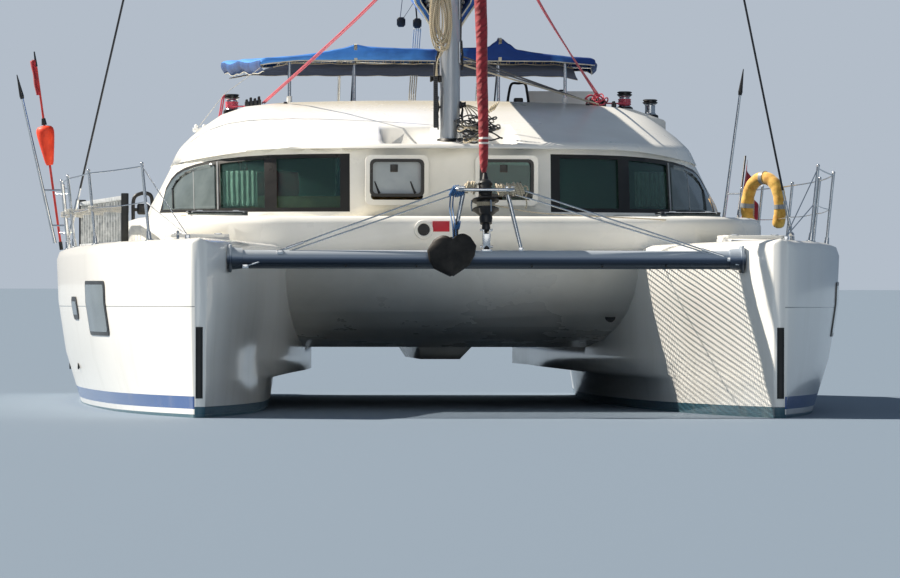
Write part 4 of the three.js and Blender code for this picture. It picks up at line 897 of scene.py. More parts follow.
def build_net():
    bm = bmesh.new()
    sheet_grid(bm, 90, 60, on_net)
    net = finished("net_sheet", bm, "net_polyester", node="trampoline")
    # Bolt rope round the net, and its lacing to the beam and the hulls
    bm = bmesh.new()
    rim = [on_net(u / 40, 0) for u in range(41)] + [on_net(1, v / 24) for v in range(1, 25)]
    rim += [on_net(1 - u / 40, 1) for u in range(1, 41)] + [on_net(0, 1 - v / 24) for v in range(1, 25)]
    swept(bm, rim, 0.009, 8)
    front = at_row(NET_EDGE, 0.56)[0]
    for step in range(49):
        x = -1.9 + 3.8 * step / 48
        swept(bm, [on_net((x / front + 1) / 2, 0), spot(x + 0.02, 0.515, 1.235), spot(x + 0.04, 0.5, 1.17),
                   spot(x + 0.06, 0.53, 1.2), on_net(((x + 0.075) / front + 1) / 2, 0)], 0.0035, 6)
    for end, out in ((0, -0.05), (1, 0.05)):
        for step in range(22):
            hole = on_net(end, (step + 0.3) / 22)
            swept(bm, [hole, hole + vec(out, 0.03, -0.004), hole + vec(0, 0.06, 0)], 0.003, 6)
    finished("net_lacing", bm, "rope_white")


def loop_round(bm, centre, radius, thick, slope):
    """Adds one turn of rope round a bar that runs across the boat."""
    turn = [vec(slope * cos(a), 1.25 * sin(a), cos(a)) * radius for a in angles(14)]
    swept(bm, [Vector(centre) + point for point in turn], thick, 6)


def build_striker():
    y0 = on_stay(1.77).y
    bm = bmesh.new()
    for side in (-1, 1):
        bent(bm, [
            (-0.235, y0 + side * 0.02, 1.775), (-0.19, y0 + side * 0.066, 1.77), (0, y0 + side * 0.078, 1.768),
            (0.19, y0 + side * 0.066, 1.77), (0.235, y0 + side * 0.02, 1.775),
        ], 24, 0.014, 12)
        rod(bm, (side * 0.165, y0, 1.78), (side * 0.268, BEAM_Y, 1.31), 0.018, 0.016, 20)
        box(bm, (side * 0.15, y0 - 0.05, 1.752), (side * 0.236, y0 + 0.05, 1.8), 0.008, 3)
    finished("striker_frame", bm, "stainless_tube", node="striker")
    bm = bmesh.new()
    for far_x, far_z, near_x, near_z in (
        (-1.61, 1.292, -0.225, 1.79), (-1.88, 1.168, -0.2, 1.745), (1.9, 1.236, 0.225, 1.79),
        (1.965, 1.205, 0.2, 1.745),
    ):
        far, near = vec(far_x, BEAM_Y - 0.062, far_z), vec(near_x, y0, near_z)
        swept(bm, [far, near], 0.0065)
        # Turnbuckle at the outer end
        rod(bm, far.lerp(near, 0.03), far.lerp(near, 0.13), 0.011, sides=12)
    finished("striker_stays", bm, "stainless_tube")
    # Lashings: turns of blue rope to starboard, beige rope to port
    random.seed(7)

    def lash(count, start, pitch, height, wobble, reach, spread, *shape):
        for turn in range(count):
            z = height + uniform(-wobble, wobble)
            loop_round(bm, (start + turn * pitch, y0, z), reach + uniform(0, spread), *shape)

    bm = bmesh.new()
    lash(7, -0.262, 0.016, 1.765, 0.01, 0.032, 0.012, 0.009, 0.5)
    hang = [(-0.262, y0 - 0.03, 1.74), (-0.272, y0 - 0.075, 1.62), spot(-0.268, 0.29, 1.5),
            spot(-0.262, 0.275, 1.4),
            spot(-0.256, 0.272, 1.31)]
    for shift in (-0.01, 0.012):
        bent(bm, [(x + shift, y, z) for x, y, z in hang], 20, 0.0055)
    for turn in range(4):
        loop_round(bm, spot(-0.26 + turn * 0.012, 0.3, 1.49), 0.03, 0.006, 0.2)
    ball(bm, spot(-0.262, 0.268, 1.325), (0.02, 0.014, 0.03), 6)
    finished("lashing_blue", bm, "rope_blue")
    bm = bmesh.new()
    lash(6, -0.165, 0.017, 1.785, 0.012, 0.036, 0.01, 0.008, 0.35)
    lash(12, 0.1, 0.017, 1.775, 0.012, 0.034, 0.014, 0.0085, -0.4)
    bent(bm, [(0.28, y0, 1.78), (0.315, y0 - 0.02, 1.8), (0.335, y0, 1.765), (0.318, y0 + 0.01, 1.72),
              (0.325, y0, 1.665), (0.318, y0, 1.62)], 24, 0.006)
    finished("lashing_beige", bm, "rope_beige")


# Half width of the anchor's blade up its height
BLADE = ((0.0, 0.01), (0.25, 0.135), (0.5, 0.175), (0.75, 0.188), (1.0, 0.14))


def build_anchor():
    x, y = -0.28, aft(0.262)
    bm = bmesh.new()
    # Two ploughed blades that meet at the keel
    for sign in (-1, 1):
        def place(u, v):
            out = at_row(BLADE, v)[0] * u
            rise = 0.285 * v + 0.035 * sin(u * pi) * v + 0.1 * sign * out
            return vec(x + sign * out, y + 0.01 + 0.055 * u * u + 0.02 * (u - v), 1.098 + rise)

        made = sheet_grid(bm, 12, 12, place)
        if sign < 0:
            bmesh.ops.reverse_faces(bm, faces=faces_of(made))
    thicken(finished("anchor_blades", bm, "darkened_galvanised", sharp=50, recalculate=False), 0.014)
    bm = bmesh.new()
    for left, width, outline in (
        (0.013, 0.034, ((0.035, 1.17), (0.062, 1.17), (0.064, 1.36), (0.066, 1.5),
                        (0.02, 1.505), (0.012, 1.36))),
        (-0.012, 0.024, ((0.03, 1.12), (0.07, 1.16), (0.06, 1.4), (0.0, 1.3))),
    ):
        plate(bm, [(x + left, y + back, z) for back, z in outline], (width, 0, 0))
    eye = ((0.03, 1.475), (0.0, 1.5), (0.03, 1.535), (0.06, 1.5))
    bent(bm, [(x + 0.03, y + back, z) for back, z in eye], 14, 0.007)
    finished("anchor_shank", bm, "darkened_galvanised", node="anchor")


# Heights and radii up the furler's body
FURLER = (
    (1.27, 0.0), (1.27, 0.016), (1.3, 0.026), (1.335, 0.022), (1.35, 0.014), (1.44, 0.012), (1.45, 0.03),
    (1.47, 0.034), (1.5, 0.03), (1.505, 0.046), (1.55, 0.052), (1.565, 0.048), (1.6, 0.088), (1.61, 0.104),
    (1.618, 0.104), (1.622, 0.062), (1.675, 0.062), (1.682, 0.106), (1.69, 0.106), (1.7, 0.07), (1.715, 0.055),
    (1.8, 0.05), (1.815, 0.058), (1.83, 0.05), (1.848, 0.028), (1.9, 0.016), (1.9, 0.0),
)
# Heights and radii up the rolled headsail
ROLLED = (
    (1.905, 0.016), (1.95, 0.03), (2.05, 0.037), (2.4, 0.042), (3.0, 0.047), (4.0, 0.054), (6.0, 0.059),
    (9.0, 0.052), (12.0, 0.038), (13.6, 0.028), (14.05, 0.014),
)


def build_forestay():
    bm = bmesh.new()
    turned(bm, [((z - 1.27) * 1.04, r) for z, r in FURLER], on_stay(1.27), on_stay(5.0), 40)
    finished("furler_body", bm, "black_fitting", sharp=30, node="furler_drum")
    bm = bmesh.new()
    # Guard cage and toggle
    for step in range(3):
        angle = tau * (step + 0.4) / 3
        out = vec(cos(angle), sin(angle), 0) * 0.108
        swept(bm, [on_stay(1.6) + out, on_stay(1.645) + out * 1.04, on_stay(1.69) + out], 0.006, 8)
    for side in (-0.024, 0.024):
        box(bm, (side - 0.005, BEAM_Y - 0.02, 1.3), (side + 0.005, BEAM_Y + 0.025, 1.46), 0.003)
    for back, z in ((0.455, 1.325), (0.49, 1.455)):
        rod(bm, spot(-0.05, back, z), spot(0.05, back, z), 0.009, sides=12)
    box(bm, spot(-0.032, 0.437, 1.315), spot(0.032, 0.492, 1.43), 0.008, 3)
    finished("furler_toggle", bm, "stainless_tube")
    bm = bmesh.new()
    for turn in range(6):
        swept(bm, circle(on_stay(1.628 + turn * 0.0085), 0.066, 24, 0.001), 0.005, 6)
    bent(bm, [on_stay(1.65) + vec(0.07, 0, 0), spot(0.45, 1.2, 1.6), spot(1.0, 2.3, 1.585),
              spot(1.75, 3.1, 1.56),
              spot(2.35, 3.6, 1.52)], 24, 0.005)
    finished("furling_line", bm, "rope_beige")
    # The rolled headsail: tight, a little lumpy, its leech winding up it
    bm = bmesh.new()
    heights = [1.905 + (14.05 - 1.905) * step / 400 for step in range(401)]
    swept(bm, [on_stay(z) + vec(-0.006 + 0.002 * sin(z * 9), 0.002 * cos(z * 9), 0) for z in heights],
          [at_row(ROLLED, z)[0] * (1 + 0.07 * noise.noise(up(z * 5))) for z in heights], 20)
    finished("rolled_headsail", bm, "sail_strip_painted_crease_shade", sharp=60, node="furled_genoa")
    bm = bmesh.new()
    rod(bm, on_stay(14.0), on_stay(14.99), 0.012, sides=12)
    rod(bm, on_stay(14.2), on_stay(14.42), 0.045, 0.038, 20)
    finished("stay_foil", bm, "anodised_spar")


# Mast, boom and sail

MAST_Y = aft(4.48)
MAST_FOOT, MAST_TOP = 2.236, 16.9
SPREADER_TIP = (0.88, aft(4.9), 8.96)


def build_mast():
    y = MAST_Y
    bm = bmesh.new()
    bmesh.ops.create_cone(
        bm, cap_ends=True, cap_tris=False, segments=56, radius1=1, radius2=1, depth=1,
        matrix=Matrix.Translation((0, y, (MAST_FOOT + MAST_TOP) / 2))
        @ Matrix.Diagonal((0.085, 0.12, MAST_TOP - MAST_FOOT, 1)),
    )
    # Sail track up the after face, and a riveted plate at each exit
    box(bm, (-0.014, y + 0.114, 2.9), (0.014, y + 0.128, MAST_TOP - 0.1), 0.003)
    for z in (3.35, 2.98):
        box(bm, (0.07, y - 0.075, z - 0.09), (0.082, y - 0.045, z + 0.09), 0.003)
    for sign in (-1, 1):
        tip, root = vec(sign * SPREADER_TIP[0], *SPREADER_TIP[1:]), vec(sign * 0.06, y, 8.905)
        rod(bm, root, tip, 0.034, 0.02, 20)
        rod(bm, root, root.lerp(tip, 0.06), 0.046, 0.04, 20)
        ball(bm, tip, (0.018, 0.018, 0.03), 8)
        for z in (4.1, 14.6):
            box(bm, (sign * 0.062, y - 0.03, z - 0.05), (sign * 0.086, y + 0.03, z + 0.05), 0.006)
    # Gooseneck's two plates, and the masthead
    for z0, z1 in ((3.168, 3.148), (3.272, 3.292)):
        box(bm, spot(-0.045, 4.565, z0), spot(0.045, 4.755, z1), 0.006)
    box(bm, (-0.055, y - 0.185, MAST_TOP - 0.004), (0.055, y + 0.255, MAST_TOP + 0.045), 0.012, 3)
    finished("mast_spar", bm, "anodised_spar", node="mast")
    bm = bmesh.new()
    # Foot collar, mast winches and cleats, masthead light
    bmesh.ops.create_cone(
        bm, cap_ends=True, cap_tris=False, segments=48, radius1=1, radius2=0.93, depth=1,
        matrix=Matrix.Translation((0, y, MAST_FOOT + 0.01)) @ Matrix.Diagonal((0.112, 0.15, 0.02, 1)),
    )
    turned(bm, [(0, 0), (0, 0.034), (0.014, 0.034), (0.03, 0.02), (0.06, 0.02), (0.075, 0.03), (0.085, 0.028),
                (0.085, 0)], (-0.083, y - 0.02, 2.76), (-1, y - 0.02, 2.76), 28)
    turned(bm, [(0, 0), (0, 0.032), (0.01, 0.032), (0.018, 0.022), (0.038, 0.022), (0.046, 0.03), (0.05, 0.028),
                (0.05, 0)], (0.083, y - 0.01, 2.54), (1, y - 0.01, 2.54), 28)
    for sign, z in ((-1, 2.98), (-1, 2.52), (1, 2.92), (1, 2.45)):
        x = sign * 0.098
        swept(bm, [(x + sign * out, y - 0.03, z + rise) for out, rise in
                   ((0, -0.09), (0.008, -0.05), (0, 0), (0.008, 0.05), (0, 0.09))],
             [0.005, 0.009, 0.012, 0.009, 0.005])
        rod(bm, (sign * 0.075, y - 0.03, z), (x, y - 0.03, z), 0.01, sides=10)
    rod(bm, (0, y - 0.12, 16.93), (0, y - 0.12, 16.96), 0.03, sides=20)
    finished("mast_fittings", bm, "black_fitting")
    bm = bmesh.new()
    for sign in (-1, 1):
        for z in (4.1, 14.6):
            swept(bm, [(sign * 0.083, y, z), (sign * SPREADER_TIP[0], *SPREADER_TIP[1:])], 0.006, 8)
    finished("diamond_stays", bm, "stainless_tube")


def build_shrouds(sizes):
    for side, sign in SIDES:
        foot, head = spot(sign * 3.17, 6.6, 1.42), spot(sign * 0.065, 4.5, 15.2)
        bm = bmesh.new()
        swept(bm, [foot.lerp(head, 0.032), head], sizes.wire_radius, 12)
        finished(f"shroud_wire_{side}", bm, "wire_cover", node=f"shroud_{side}")
        # Turnbuckle with its nuts, chain plate, toggle and pin
        bm = bmesh.new()
        for start, end, radius, sides in (
            (0.008, 0.024, 0.014, 20), (0, 0.036, 0.0085, 16), (0.0068, 0.0092, 0.017, 6),
            (0.0228, 0.0252, 0.017, 6),
        ):
            rod(bm, foot.lerp(head, start), foot.lerp(head, end), radius, sides=sides)
        block(bm, (foot.x, foot.y, 1.385), (0.005, 0.028, 0.04), 0.003)
        for shift in (-0.011, 0.011):
            block(bm, (foot.x + shift, foot.y, 1.4225), (0.003, 0.012, 0.0375), 0.002)
        rod(bm, (foot.x - 0.02, foot.y, 1.402), (foot.x + 0.02, foot.y, 1.402), 0.006, sides=12)
        finished(f"shroud_screw_{side}", bm, "stainless_tube")


def jammer_line(lane):
    """One of the lines that lead from the mast's port side to the port jammers."""
    z = 2.95 - 0.035 * lane
    start, end = spot(0.115, 4.58, z), spot(1.4 + 0.05 * lane, 6.93, 2.64 - 0.012 * lane)
    return [spot(0.1, 4.5, z + 0.13)] + [start.lerp(end, k / 20) for k in range(21)]


def build_running_rigging():
    y = MAST_Y
    random.seed(11)
    bm = bmesh.new()
    # Dark halyards down the mast's port side, and three that lead aft to the port jammers
    for x, turn in ((0.088, 0.0), (0.098, 0.035)):
        bent(bm, [(x, y + turn, 15), (x, y + turn, 9), (x, y + turn, 4),
                  (x - 0.004, y + turn, 2.98)], 20, 0.006)
    for lane in (0, 1):
        swept(bm, jammer_line(lane), 0.0075, 8)
    # Tails down the mast's starboard side
    for x, low in ((-0.105, 2.33), (-0.115, 2.36)):
        bent(bm, [(x, y - 0.03, 2.95), (x - 0.006, y - 0.05, 2.7), (x + 0.004, y - 0.045, low)], 16, 0.007)
    for turn in range(5):
        swept(bm, [(-0.112 - 0.006 * turn, y - 0.05 + 0.02 * sin(a), 2.62 + 0.27 * cos(a)) for a in angles(22)],
              0.0055, 6)
    finished("halyards_dark", bm, "rope_dark")
    # Coils hung before the mast, under the bag; their strands hang close together above and open below
    bm = bmesh.new()
    for lap in range(15):
        long, wide = 0.25 + uniform(-0.07, 0.03), 0.03 + 0.035 * random.random()
        middle = spot(-0.085 + uniform(-0.035, 0.03), 4.325 - 0.012 * (lap % 4), 3.34 - long * 0.12)
        lean = uniform(-0.06, 0.06)
        swept(bm, [middle + Vector((
            wide * sin(a) * (1 - 0.45 * cos(a)) + lean * cos(a) * 0.5, 0.01 * cos(a * 2),
            long * cos(a) * (1 if cos(a) > 0 else 1.15),
        )) for a in angles(26)], 0.0065, 8)
    for lap in range(5):
        loop_round(bm, spot(-0.095, 4.325, 3.47 + lap * 0.013), 0.05, 0.0065, 0.1)
    # One tail falls from the coils to the cleat
    for shift in (0.0, 0.02):
        bent(bm, [spot(-0.1 + shift, 4.33, 3.15), spot(-0.085 + shift, 4.335, 3.0), spot(-0.115, 4.34, 2.9),
                  spot(-0.125 + shift * 0.5, 4.37, 2.78)], 16, 0.0055)
    finished("halyard_coils", bm, "rope_beige")
    # Heap of rope in the recess beside the mast's foot, some of it hung from the small winch above
    for name, colour, seed, laps, pitch in (("dark", "dark", 3, 14, 0.012), ("pale", "beige", 4, 6, 0.02)):
        bm = bmesh.new()
        random.seed(seed)
        for lap in range(laps):
            cx, cy = 0.19 + uniform(-0.05, 0.13), aft(4.3) + uniform(-0.06, 0.1)
            cz = 2.225 + lap * pitch
            reach, lean, start = uniform(0.06, 0.12), uniform(0.2, 0.9), uniform(0, 6)
            swept(bm, [(cx + reach * cos(a), cy + reach * 0.6 * sin(a),
                        cz + 0.05 * (1 + sin(a + start)) * lean + 0.012 * sin(3 * a))
                       for a in angles(24, 1.04)], 0.0065, 7)
        if name == "pale":
            swept(bm, jammer_line(2), 0.0075, 8)
            for lap in range(5):
                low = 2.27 + 0.03 * lap
                bent(bm, [spot(0.12 + 0.008 * lap, 4.46, 2.54), spot(0.16 + 0.03 * lap, 4.42, 1.29 + low / 2),
                          spot(0.2 + 0.04 * lap, 4.36, low),
                          spot(0.13 + 0.01 * lap, 4.4, low + 0.05)], 16, 0.005, 7)
            for lap in range(4):
                loop_round(bm, spot(0.34 + 0.02 * lap, 4.6, 2.5 + 0.012 * lap), 0.035, 0.005, 0.6)
        finished(f"foot_ropes_{name}", bm, f"rope_{colour}")


# Heights of the winches' tops
WINCH_TOPS = {"winch_starboard": 2.706, "winch_port": 2.743, "winch_port_aft": 2.679}


def build_sheets(sizes):
    bm = bmesh.new()
    radius, clew_z = sizes.sheet_radius, 4.1
    for sign, x, z in ((-1, -1.47, 2.62), (1, 1.477, 2.7)):
        for lane, part in ((0, 1), (0.02, 0.8)):
            bent(bm, [spot(sign * 0.055, 1.251, clew_z - lane),
                      spot(x * 0.5, 4.1, (clew_z + z) / 2 - 0.035 - lane),
                      spot(x + lane, 7.0, z)], 24, radius * part)
    for turn in range(5):
        swept(bm, circle(on_stay(4.07 + turn * 0.018), 0.066, 20), radius, 6)
    # Turns round each headsail winch, its lead from the jammers, and a doubled tail down the roof's side
    for node in ("winch_starboard", "winch_port"):
        low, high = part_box(node)
        centre = vec((low.x + high.x) / 2, (low.y + high.y) / 2, WINCH_TOPS[node] - 0.11)
        for lap in range(4):
            swept(bm, circle(centre, 0.052, 20, lap * 0.014 - 0.005), 0.0065, 7)
        jammer, edge = spot(copysign(1.54, centre.x), 7.1, centre.z), centre - vec(0, 0.055, 0)
        swept(bm, [jammer, jammer.lerp(edge, 0.5), edge], 0.0065, 8)
    for shift in (0.0, 0.016):
        foot = on_roof(-1.842 + shift, 7.22) + up(0.008)
        bent(bm, [spot(-1.76, 7.28, 2.655), spot(-1.79, 7.25, 2.695), spot(-1.815 + shift, 7.23, 2.66),
                  spot(-1.828 + shift, 7.22, 2.58), foot], 24, 0.0065)
    random.seed(21)
    for lap in range(7):
        x, reach = 1.47 + uniform(-0.05, 0.07), uniform(0.04, 0.07)
        middle = spot(x, 6.95, 2.62 + 0.012 * lap)
        swept(bm, [middle + vec(reach * cos(a), reach * sin(a), 0.02 * sin(2 * a + lap))
                   for a in angles(20)], 0.0065, 7)
    finished("headsail_sheets", bm, "rope_red")


def on_boom(back, rise=0.0, x=0.0):
    """A point beside the boom's own line, which climbs going aft."""
    return spot(x, back, 3.22 + (back - 4.72) * (3.86 - 3.22) / (9.9 - 4.72) + rise)


def build_boom():
    bm = bmesh.new()
    for start, end, *shape in (
        (4.84, 9.88, 0.075, None, 44), (4.82, 4.86, 0.055, 0.077, 44), (9.86, 9.895, 0.077, 0.066, 44),
        (4.72, 4.84, 0.026, None, 20),
    ):
        rod(bm, on_boom(start), on_boom(end), *shape)
    rod(bm, on_boom(4.72, -0.051), on_boom(4.72, 0.051), 0.028, sides=24)
    finished("boom_tube", bm, "anodised_spar", body="boom", node="boom")
    bm = bmesh.new()
    # Blue webbing in a V from the boom to the preventer's block
    for side in (-1, 1):
        line = curve_through([on_boom(9.55, 0.01, side * 0.079), on_boom(9.55, -0.11, side * 0.074),
                              spot(-0.087 + side * 0.012, 9.55, 3.465)], 10)
        webbing(bm, line, (0, 0.02, 0), (0.004, 0, 0))
    finished("boom_strap", bm, "canvas_navy_and_painted_shade", body="boom")
    bm = bmesh.new()
    for place in (spot(-0.087, 9.55, 3.44), spot(0.045, 9.3, 3.42)):
        block(bm, place, (0.03, 0.035, 0.045), 0.012, 3)
        rod(bm, place - vec(0.038, 0, 0), place + vec(0.038, 0, 0), 0.032, sides=20)
    rod(bm, place, on_boom(9.3, -0.07, 0.02), 0.007, sides=10)
    for back in (6.2, 7.6, 9.0):
        box(bm, on_boom(back, -0.098, -0.014), on_boom(back + 0.07, -0.07, 0.014), 0.005)
    finished("boom_blocks", bm, "black_fitting", body="boom")


def strung(name, lines, radius, sides):
    """Makes straight ropes between the boat and the boom, each over the line from start to end."""
    bm = bmesh.new()
    for low, high, count in lines:
        swept(bm, [low.lerp(high, k / count) for k in range(count + 1)], radius, sides)
    piece = finished(name, bm, "rope_white")
    piece.parent = None
    piece.matrix_world = Matrix.Identity(4)
    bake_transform(piece)


def build_mainsheet():
    foot, head = spot(0, 10.5, 1.66), spot(0.045, 9.3, 3.37)
    parts = [(foot + vec(x0, 0, 0.02), head + vec(x1, 0, 0), 24)
             for x0, x1 in ((-0.024, -0.03), (-0.008, -0.01), (0.01, 0.01), (0.026, 0.03))]
    strung("mainsheet", parts, 0.006, 8)
    bm = bmesh.new()
    box(bm, spot(-0.03, 10.545, 1.618), spot(0.03, 10.595, 1.66), 0.006)
    box(bm, spot(-0.032, 10.465, 1.63), spot(0.032, 10.545, 1.7), 0.02, 3)
    rod(bm, spot(0, 10.5, 1.65), spot(0, 10.57, 1.64), 0.008, sides=10)
    finished("mainsheet_foot", bm, "black_fitting")
    # Topping lift and lazy jacks, from the mast to the boom. Their tops lie near the boom's axis.
    places = ((6.0, 0.56, 0.215), (7.6, 0.42, 0.2), (9.0, 0.27, 0.15))
    jacks = [on_boom(back, rise, x * side) for back, rise, x in places for side in (1, -1)]
    for name, top, ends, radius in (
        ("topping_lift", spot(0, 4.74, MAST_TOP), [on_boom(9.86, 0.078)], 0.004),
        ("lazy_jacks", spot(0, 4.62, 9.2), jacks, 0.0035),
    ):
        strung(name, [(top, end, 30) for end in ends], radius, 6)


# Rows along the sail cover: distance aft, height over the boom's line and half width
BAG = (
    (4.955, 0.62, 0.262), (5.2, 0.66, 0.252), (5.8, 0.64, 0.238), (6.5, 0.56, 0.236), (7.4, 0.48, 0.222),
    (8.2, 0.4, 0.202), (9.0, 0.32, 0.168), (9.5, 0.25, 0.138), (9.755, 0.16, 0.09),
)
# Half width of the cover's section up its height: a V round the boom, full above, closed at the top
BAG_SECTION = (
    (0.0, 0.0), (0.012, 0.36), (0.12, 0.54), (0.37, 1.0), (0.6, 0.98), (0.8, 0.74), (0.93, 0.42), (1.0, 0.06),
)
# Height of the middle of the cover's mouth
MOUTH_Z = on_boom(4.96, 0.2).z


def on_bag(u, v):
    """A point on the sail cover, round it from its keel and along it."""
    back = BAG[0][0] + (BAG[-1][0] - BAG[0][0]) * v
    high, half = at_row(BAG, back)
    boom = on_boom(back)
    lift = (1 - cos(tau * u)) / 2
    strap = abs(sin(pi * (back - 4.955) / 1.6))
    width = half * at_row(BAG_SECTION, lift)[0] * (1 + 0.06 * strap * lift)
    x = copysign(width, sin(tau * u))
    crease = 0.01 * noise.noise(vec(x * 5, back * 3.1, lift * 5))
    crease += 0.006 * sin(back * 21 + lift * 6) * lift * (1 - lift) * 3
    crease *= 4 * lift * (1 - lift)
    rise = -0.097 + (0.036 + high - 0.018 * strap + 0.097) * lift
    return boom + vec(x + copysign(crease, x), 0, rise)


def build_bag():
    bm = bmesh.new()
    sheet_grid(bm, 64, 150, on_bag)
    bmesh.ops.remove_doubles(bm, verts=bm.verts, dist=0.002)
    # The front mouth turns in and ends in a recess, the rear is closed
    for front, steps in ((True, ((0.82, 0.004), (0.8, 0.3))), (False, ())):
        rim = [e for e in bm.edges if e.is_boundary and (e.verts[0].co.y < aft(5.0)) == front]
        for scale, step in steps:
            made = bmesh.ops.extrude_edge_only(bm, edges=rim)["geom"]
            rim = [e for e in made if isinstance(e, bmesh.types.BMEdge)]
            for vert in new_verts(made):
                x, y, z = vert.co
                vert.co = (x * scale, y + step, MOUTH_Z + (z - MOUTH_Z) * scale)
        bmesh.ops.holes_fill(bm, edges=rim, sides=0)
    finished("sail_cover", bm, "acrylic_canvas", body="boom", sharp=60, node="sail_bag")
    # Zip along the top, and the mouth's white piping
    bm = bmesh.new()
    swept(bm, [on_bag(0.5, k / 40) + up(0.002) for k in range(41)], 0.009, 8)
    finished("cover_zip", bm, "canvas_navy_and_painted_shade", body="boom")
    bm = bmesh.new()
    middle = spot(0, 4.952, MOUTH_Z)
    for scale, radius in ((1.0, 0.009), (0.82, 0.006)):
        swept(bm, [middle + (on_bag(k / 60, 0) - middle) * scale for k in range(61)], radius, 8)
    finished("cover_piping", bm, "curtain_cotton", body="boom")
    # The throat behind the mouth, dark navy as painted shade
    bm = bmesh.new()
    middle = spot(0, 4.955, MOUTH_Z)
    sheet_grid(bm, 60, 20, lambda u, v: (
        middle + (on_bag(u, 0) - middle) * (0.81 - 0.02 * v) * (1 - 0.98 * max(0, v - 0.9) / 0.1)
        + vec(0, 0.012 + 0.27 * min(v / 0.9, 1), 0)
    ))
    finished("cover_throat", bm, "canvas_navy_and_painted_shade", body="boom", sharp=60)
    # Ends of the folded sail inside the mouth
    bm = bmesh.new()
    low = on_boom(4.97).z
    for layer in range(9):
        rise = 0.1 + layer * 0.04
        half = at_row(BAG_SECTION, (rise + 0.097) / 0.73)[0] * 0.155
        z = low + rise
        fold = [spot(-half, 5.09, z), spot(-half * 0.9, 4.99, z + 0.012), spot(-half * 0.2, 4.975, z - 0.01),
                spot(half * 0.5, 4.98, z + 0.008), spot(half, 5.09, z)]
        bent(bm, fold, 20, [0.012 + 0.006 * abs(sin(k * 1.7 + layer)) for k in range(21)], 10)
    finished("folded_sail", bm, "curtain_cotton", body="boom")


# Canopy over the cockpit

# Bows: distance aft, half width, height of the starboard end, of the port end and of the ridges
BOWS = ((7.25, 1.44, 3.006, 3.02, 3.113), (8.5, 1.575, 3.04, 3.03, 3.128), (9.75, 1.68, 3.068, 3.04, 3.095))
RIDGE_X = 0.64
CLOTH_LIFT = 0.019
# Front and rear edges of the cloth, and how far its sides hang beyond the bows' ends
CLOTH_FRONT, CLOTH_REAR, CLOTH_OVER = 7.19, 9.8, 0.045


def bow_height(x, back):
    """The height of the bows' line at a place: level between the ridges, falling to the ends."""
    half, starboard, port, ridge = at_row(BOWS, back)
    if abs(x) < RIDGE_X:
        return ridge - 0.02 * (1 - (x / RIDGE_X) ** 2)
    part = min((abs(x) - RIDGE_X) / (half - RIDGE_X), 1)
    return ridge - (ridge - (port if x > 0 else starboard)) * (1 - (1 - part) ** 1.5)


def build_canopy_frame():
    tubes, caps = bmesh.new(), bmesh.new()
    for back, half, *_ in BOWS:
        places = [half * (k / 24 - 1) for k in range(49)]
        swept(tubes, [spot(x, back, bow_height(x, back)) for x in places], 0.0145, 14)
    for sign in (-1, 1):
        x, post = sign * RIDGE_X, sign * 1.22
        for low, high, radius, sides in (
            *((spot(x, a[0], a[-1]), spot(x, b[0], b[-1]), 0.014, 18) for a, b in zip(BOWS, BOWS[1:])),
            (spot(x, 7.4, 2.6), spot(x, 7.4, 3.113), 0.015, 18),
            (spot(x, 10.57, 1.605), spot(x, 9.75, 3.06), 0.015, 18),
            (spot(post, 7.25, 2.56), spot(post, 7.25, bow_height(post, 7.25)), 0.015, 18),
            (spot(x, 7.42, 3.06), spot(x, 7.85, 2.655), 0.008, 12),
        ):
            rod(tubes, low, high, radius, sides=sides)
        for foot in (spot(x, 7.4, 2.625), spot(post, 7.25, 2.585), spot(x, 10.56, 1.628)):
            rod(caps, foot - up(0.024), foot + up(0.03), 0.026, 0.018, 20)
        # A wrap of white tape half-way up each side post
        rod(caps, spot(post, 7.25, 2.64), spot(post, 7.25, 2.69), 0.024, sides=20)
        for back, *_, ridge in BOWS:
            rod(caps, spot(x - sign * 0.03, back, ridge), spot(x + sign * 0.03, back, ridge), 0.021, sides=18)
    finished("canopy_tubes", tubes, "stainless_tube", node="bimini_frame")
    finished("canopy_fittings", caps, "liner_gelcoat")


def on_cloth(u, v):
    """A point on the canopy's cloth: taut over its bows, slack between them, heaped up at the port ridge."""
    back = CLOTH_FRONT + (CLOTH_REAR - CLOTH_FRONT) * v
    half = at_row(BOWS, back)[0] + CLOTH_OVER
    x = (u * 2 - 1) * half
    span = (back - BOWS[0][0]) / 1.25
    sag = 0.02 * sin(pi * (span % 1.0)) ** 2 * (abs(x) / half)
    seam = 0.014 * exp(-((abs(x) - RIDGE_X) / 0.07) ** 2) * exp(-(v / 0.2) ** 2)
    heap = 0.055 * exp(-((x - 0.66) / 0.09) ** 4) * exp(-((v - 0.03) / 0.1) ** 2) * (1 + 0.2 * sin(x * 60))
    wrinkle = 0.005 * noise.noise(vec(x * 2.2, back * 4.5, 1.5)) + 0.004 * noise.noise(vec(x * 9, back * 3, 4))
    lip = 0.022 * max(0.0, (abs(x) / half - 0.96) / 0.04) ** 2
    return spot(x, back, bow_height(x, back) + CLOTH_LIFT - sag + seam + heap + wrinkle - lip)


def across(x, back):
    """The u of the cloth's point at this x."""
    return (x / (at_row(BOWS, back)[0] + CLOTH_OVER) + 1) / 2


def on_valance(u, v):
    """A point on the front valance, whose hem is level and lower at its ends."""
    start = on_cloth(u, 0)
    x = start.x
    hem = 3.004 - 0.035 * max(0.0, (-x - 1.1) / 0.34) ** 1.5 - 0.03 * max(0.0, (x - 1.1) / 0.34)
    belly = 0.012 * sin(pi * v) + 0.005 * noise.noise(vec(x * 7, v * 2, 3))
    return start + vec(0, -belly - 0.004, -max(start.z - hem, 0.035) * v)


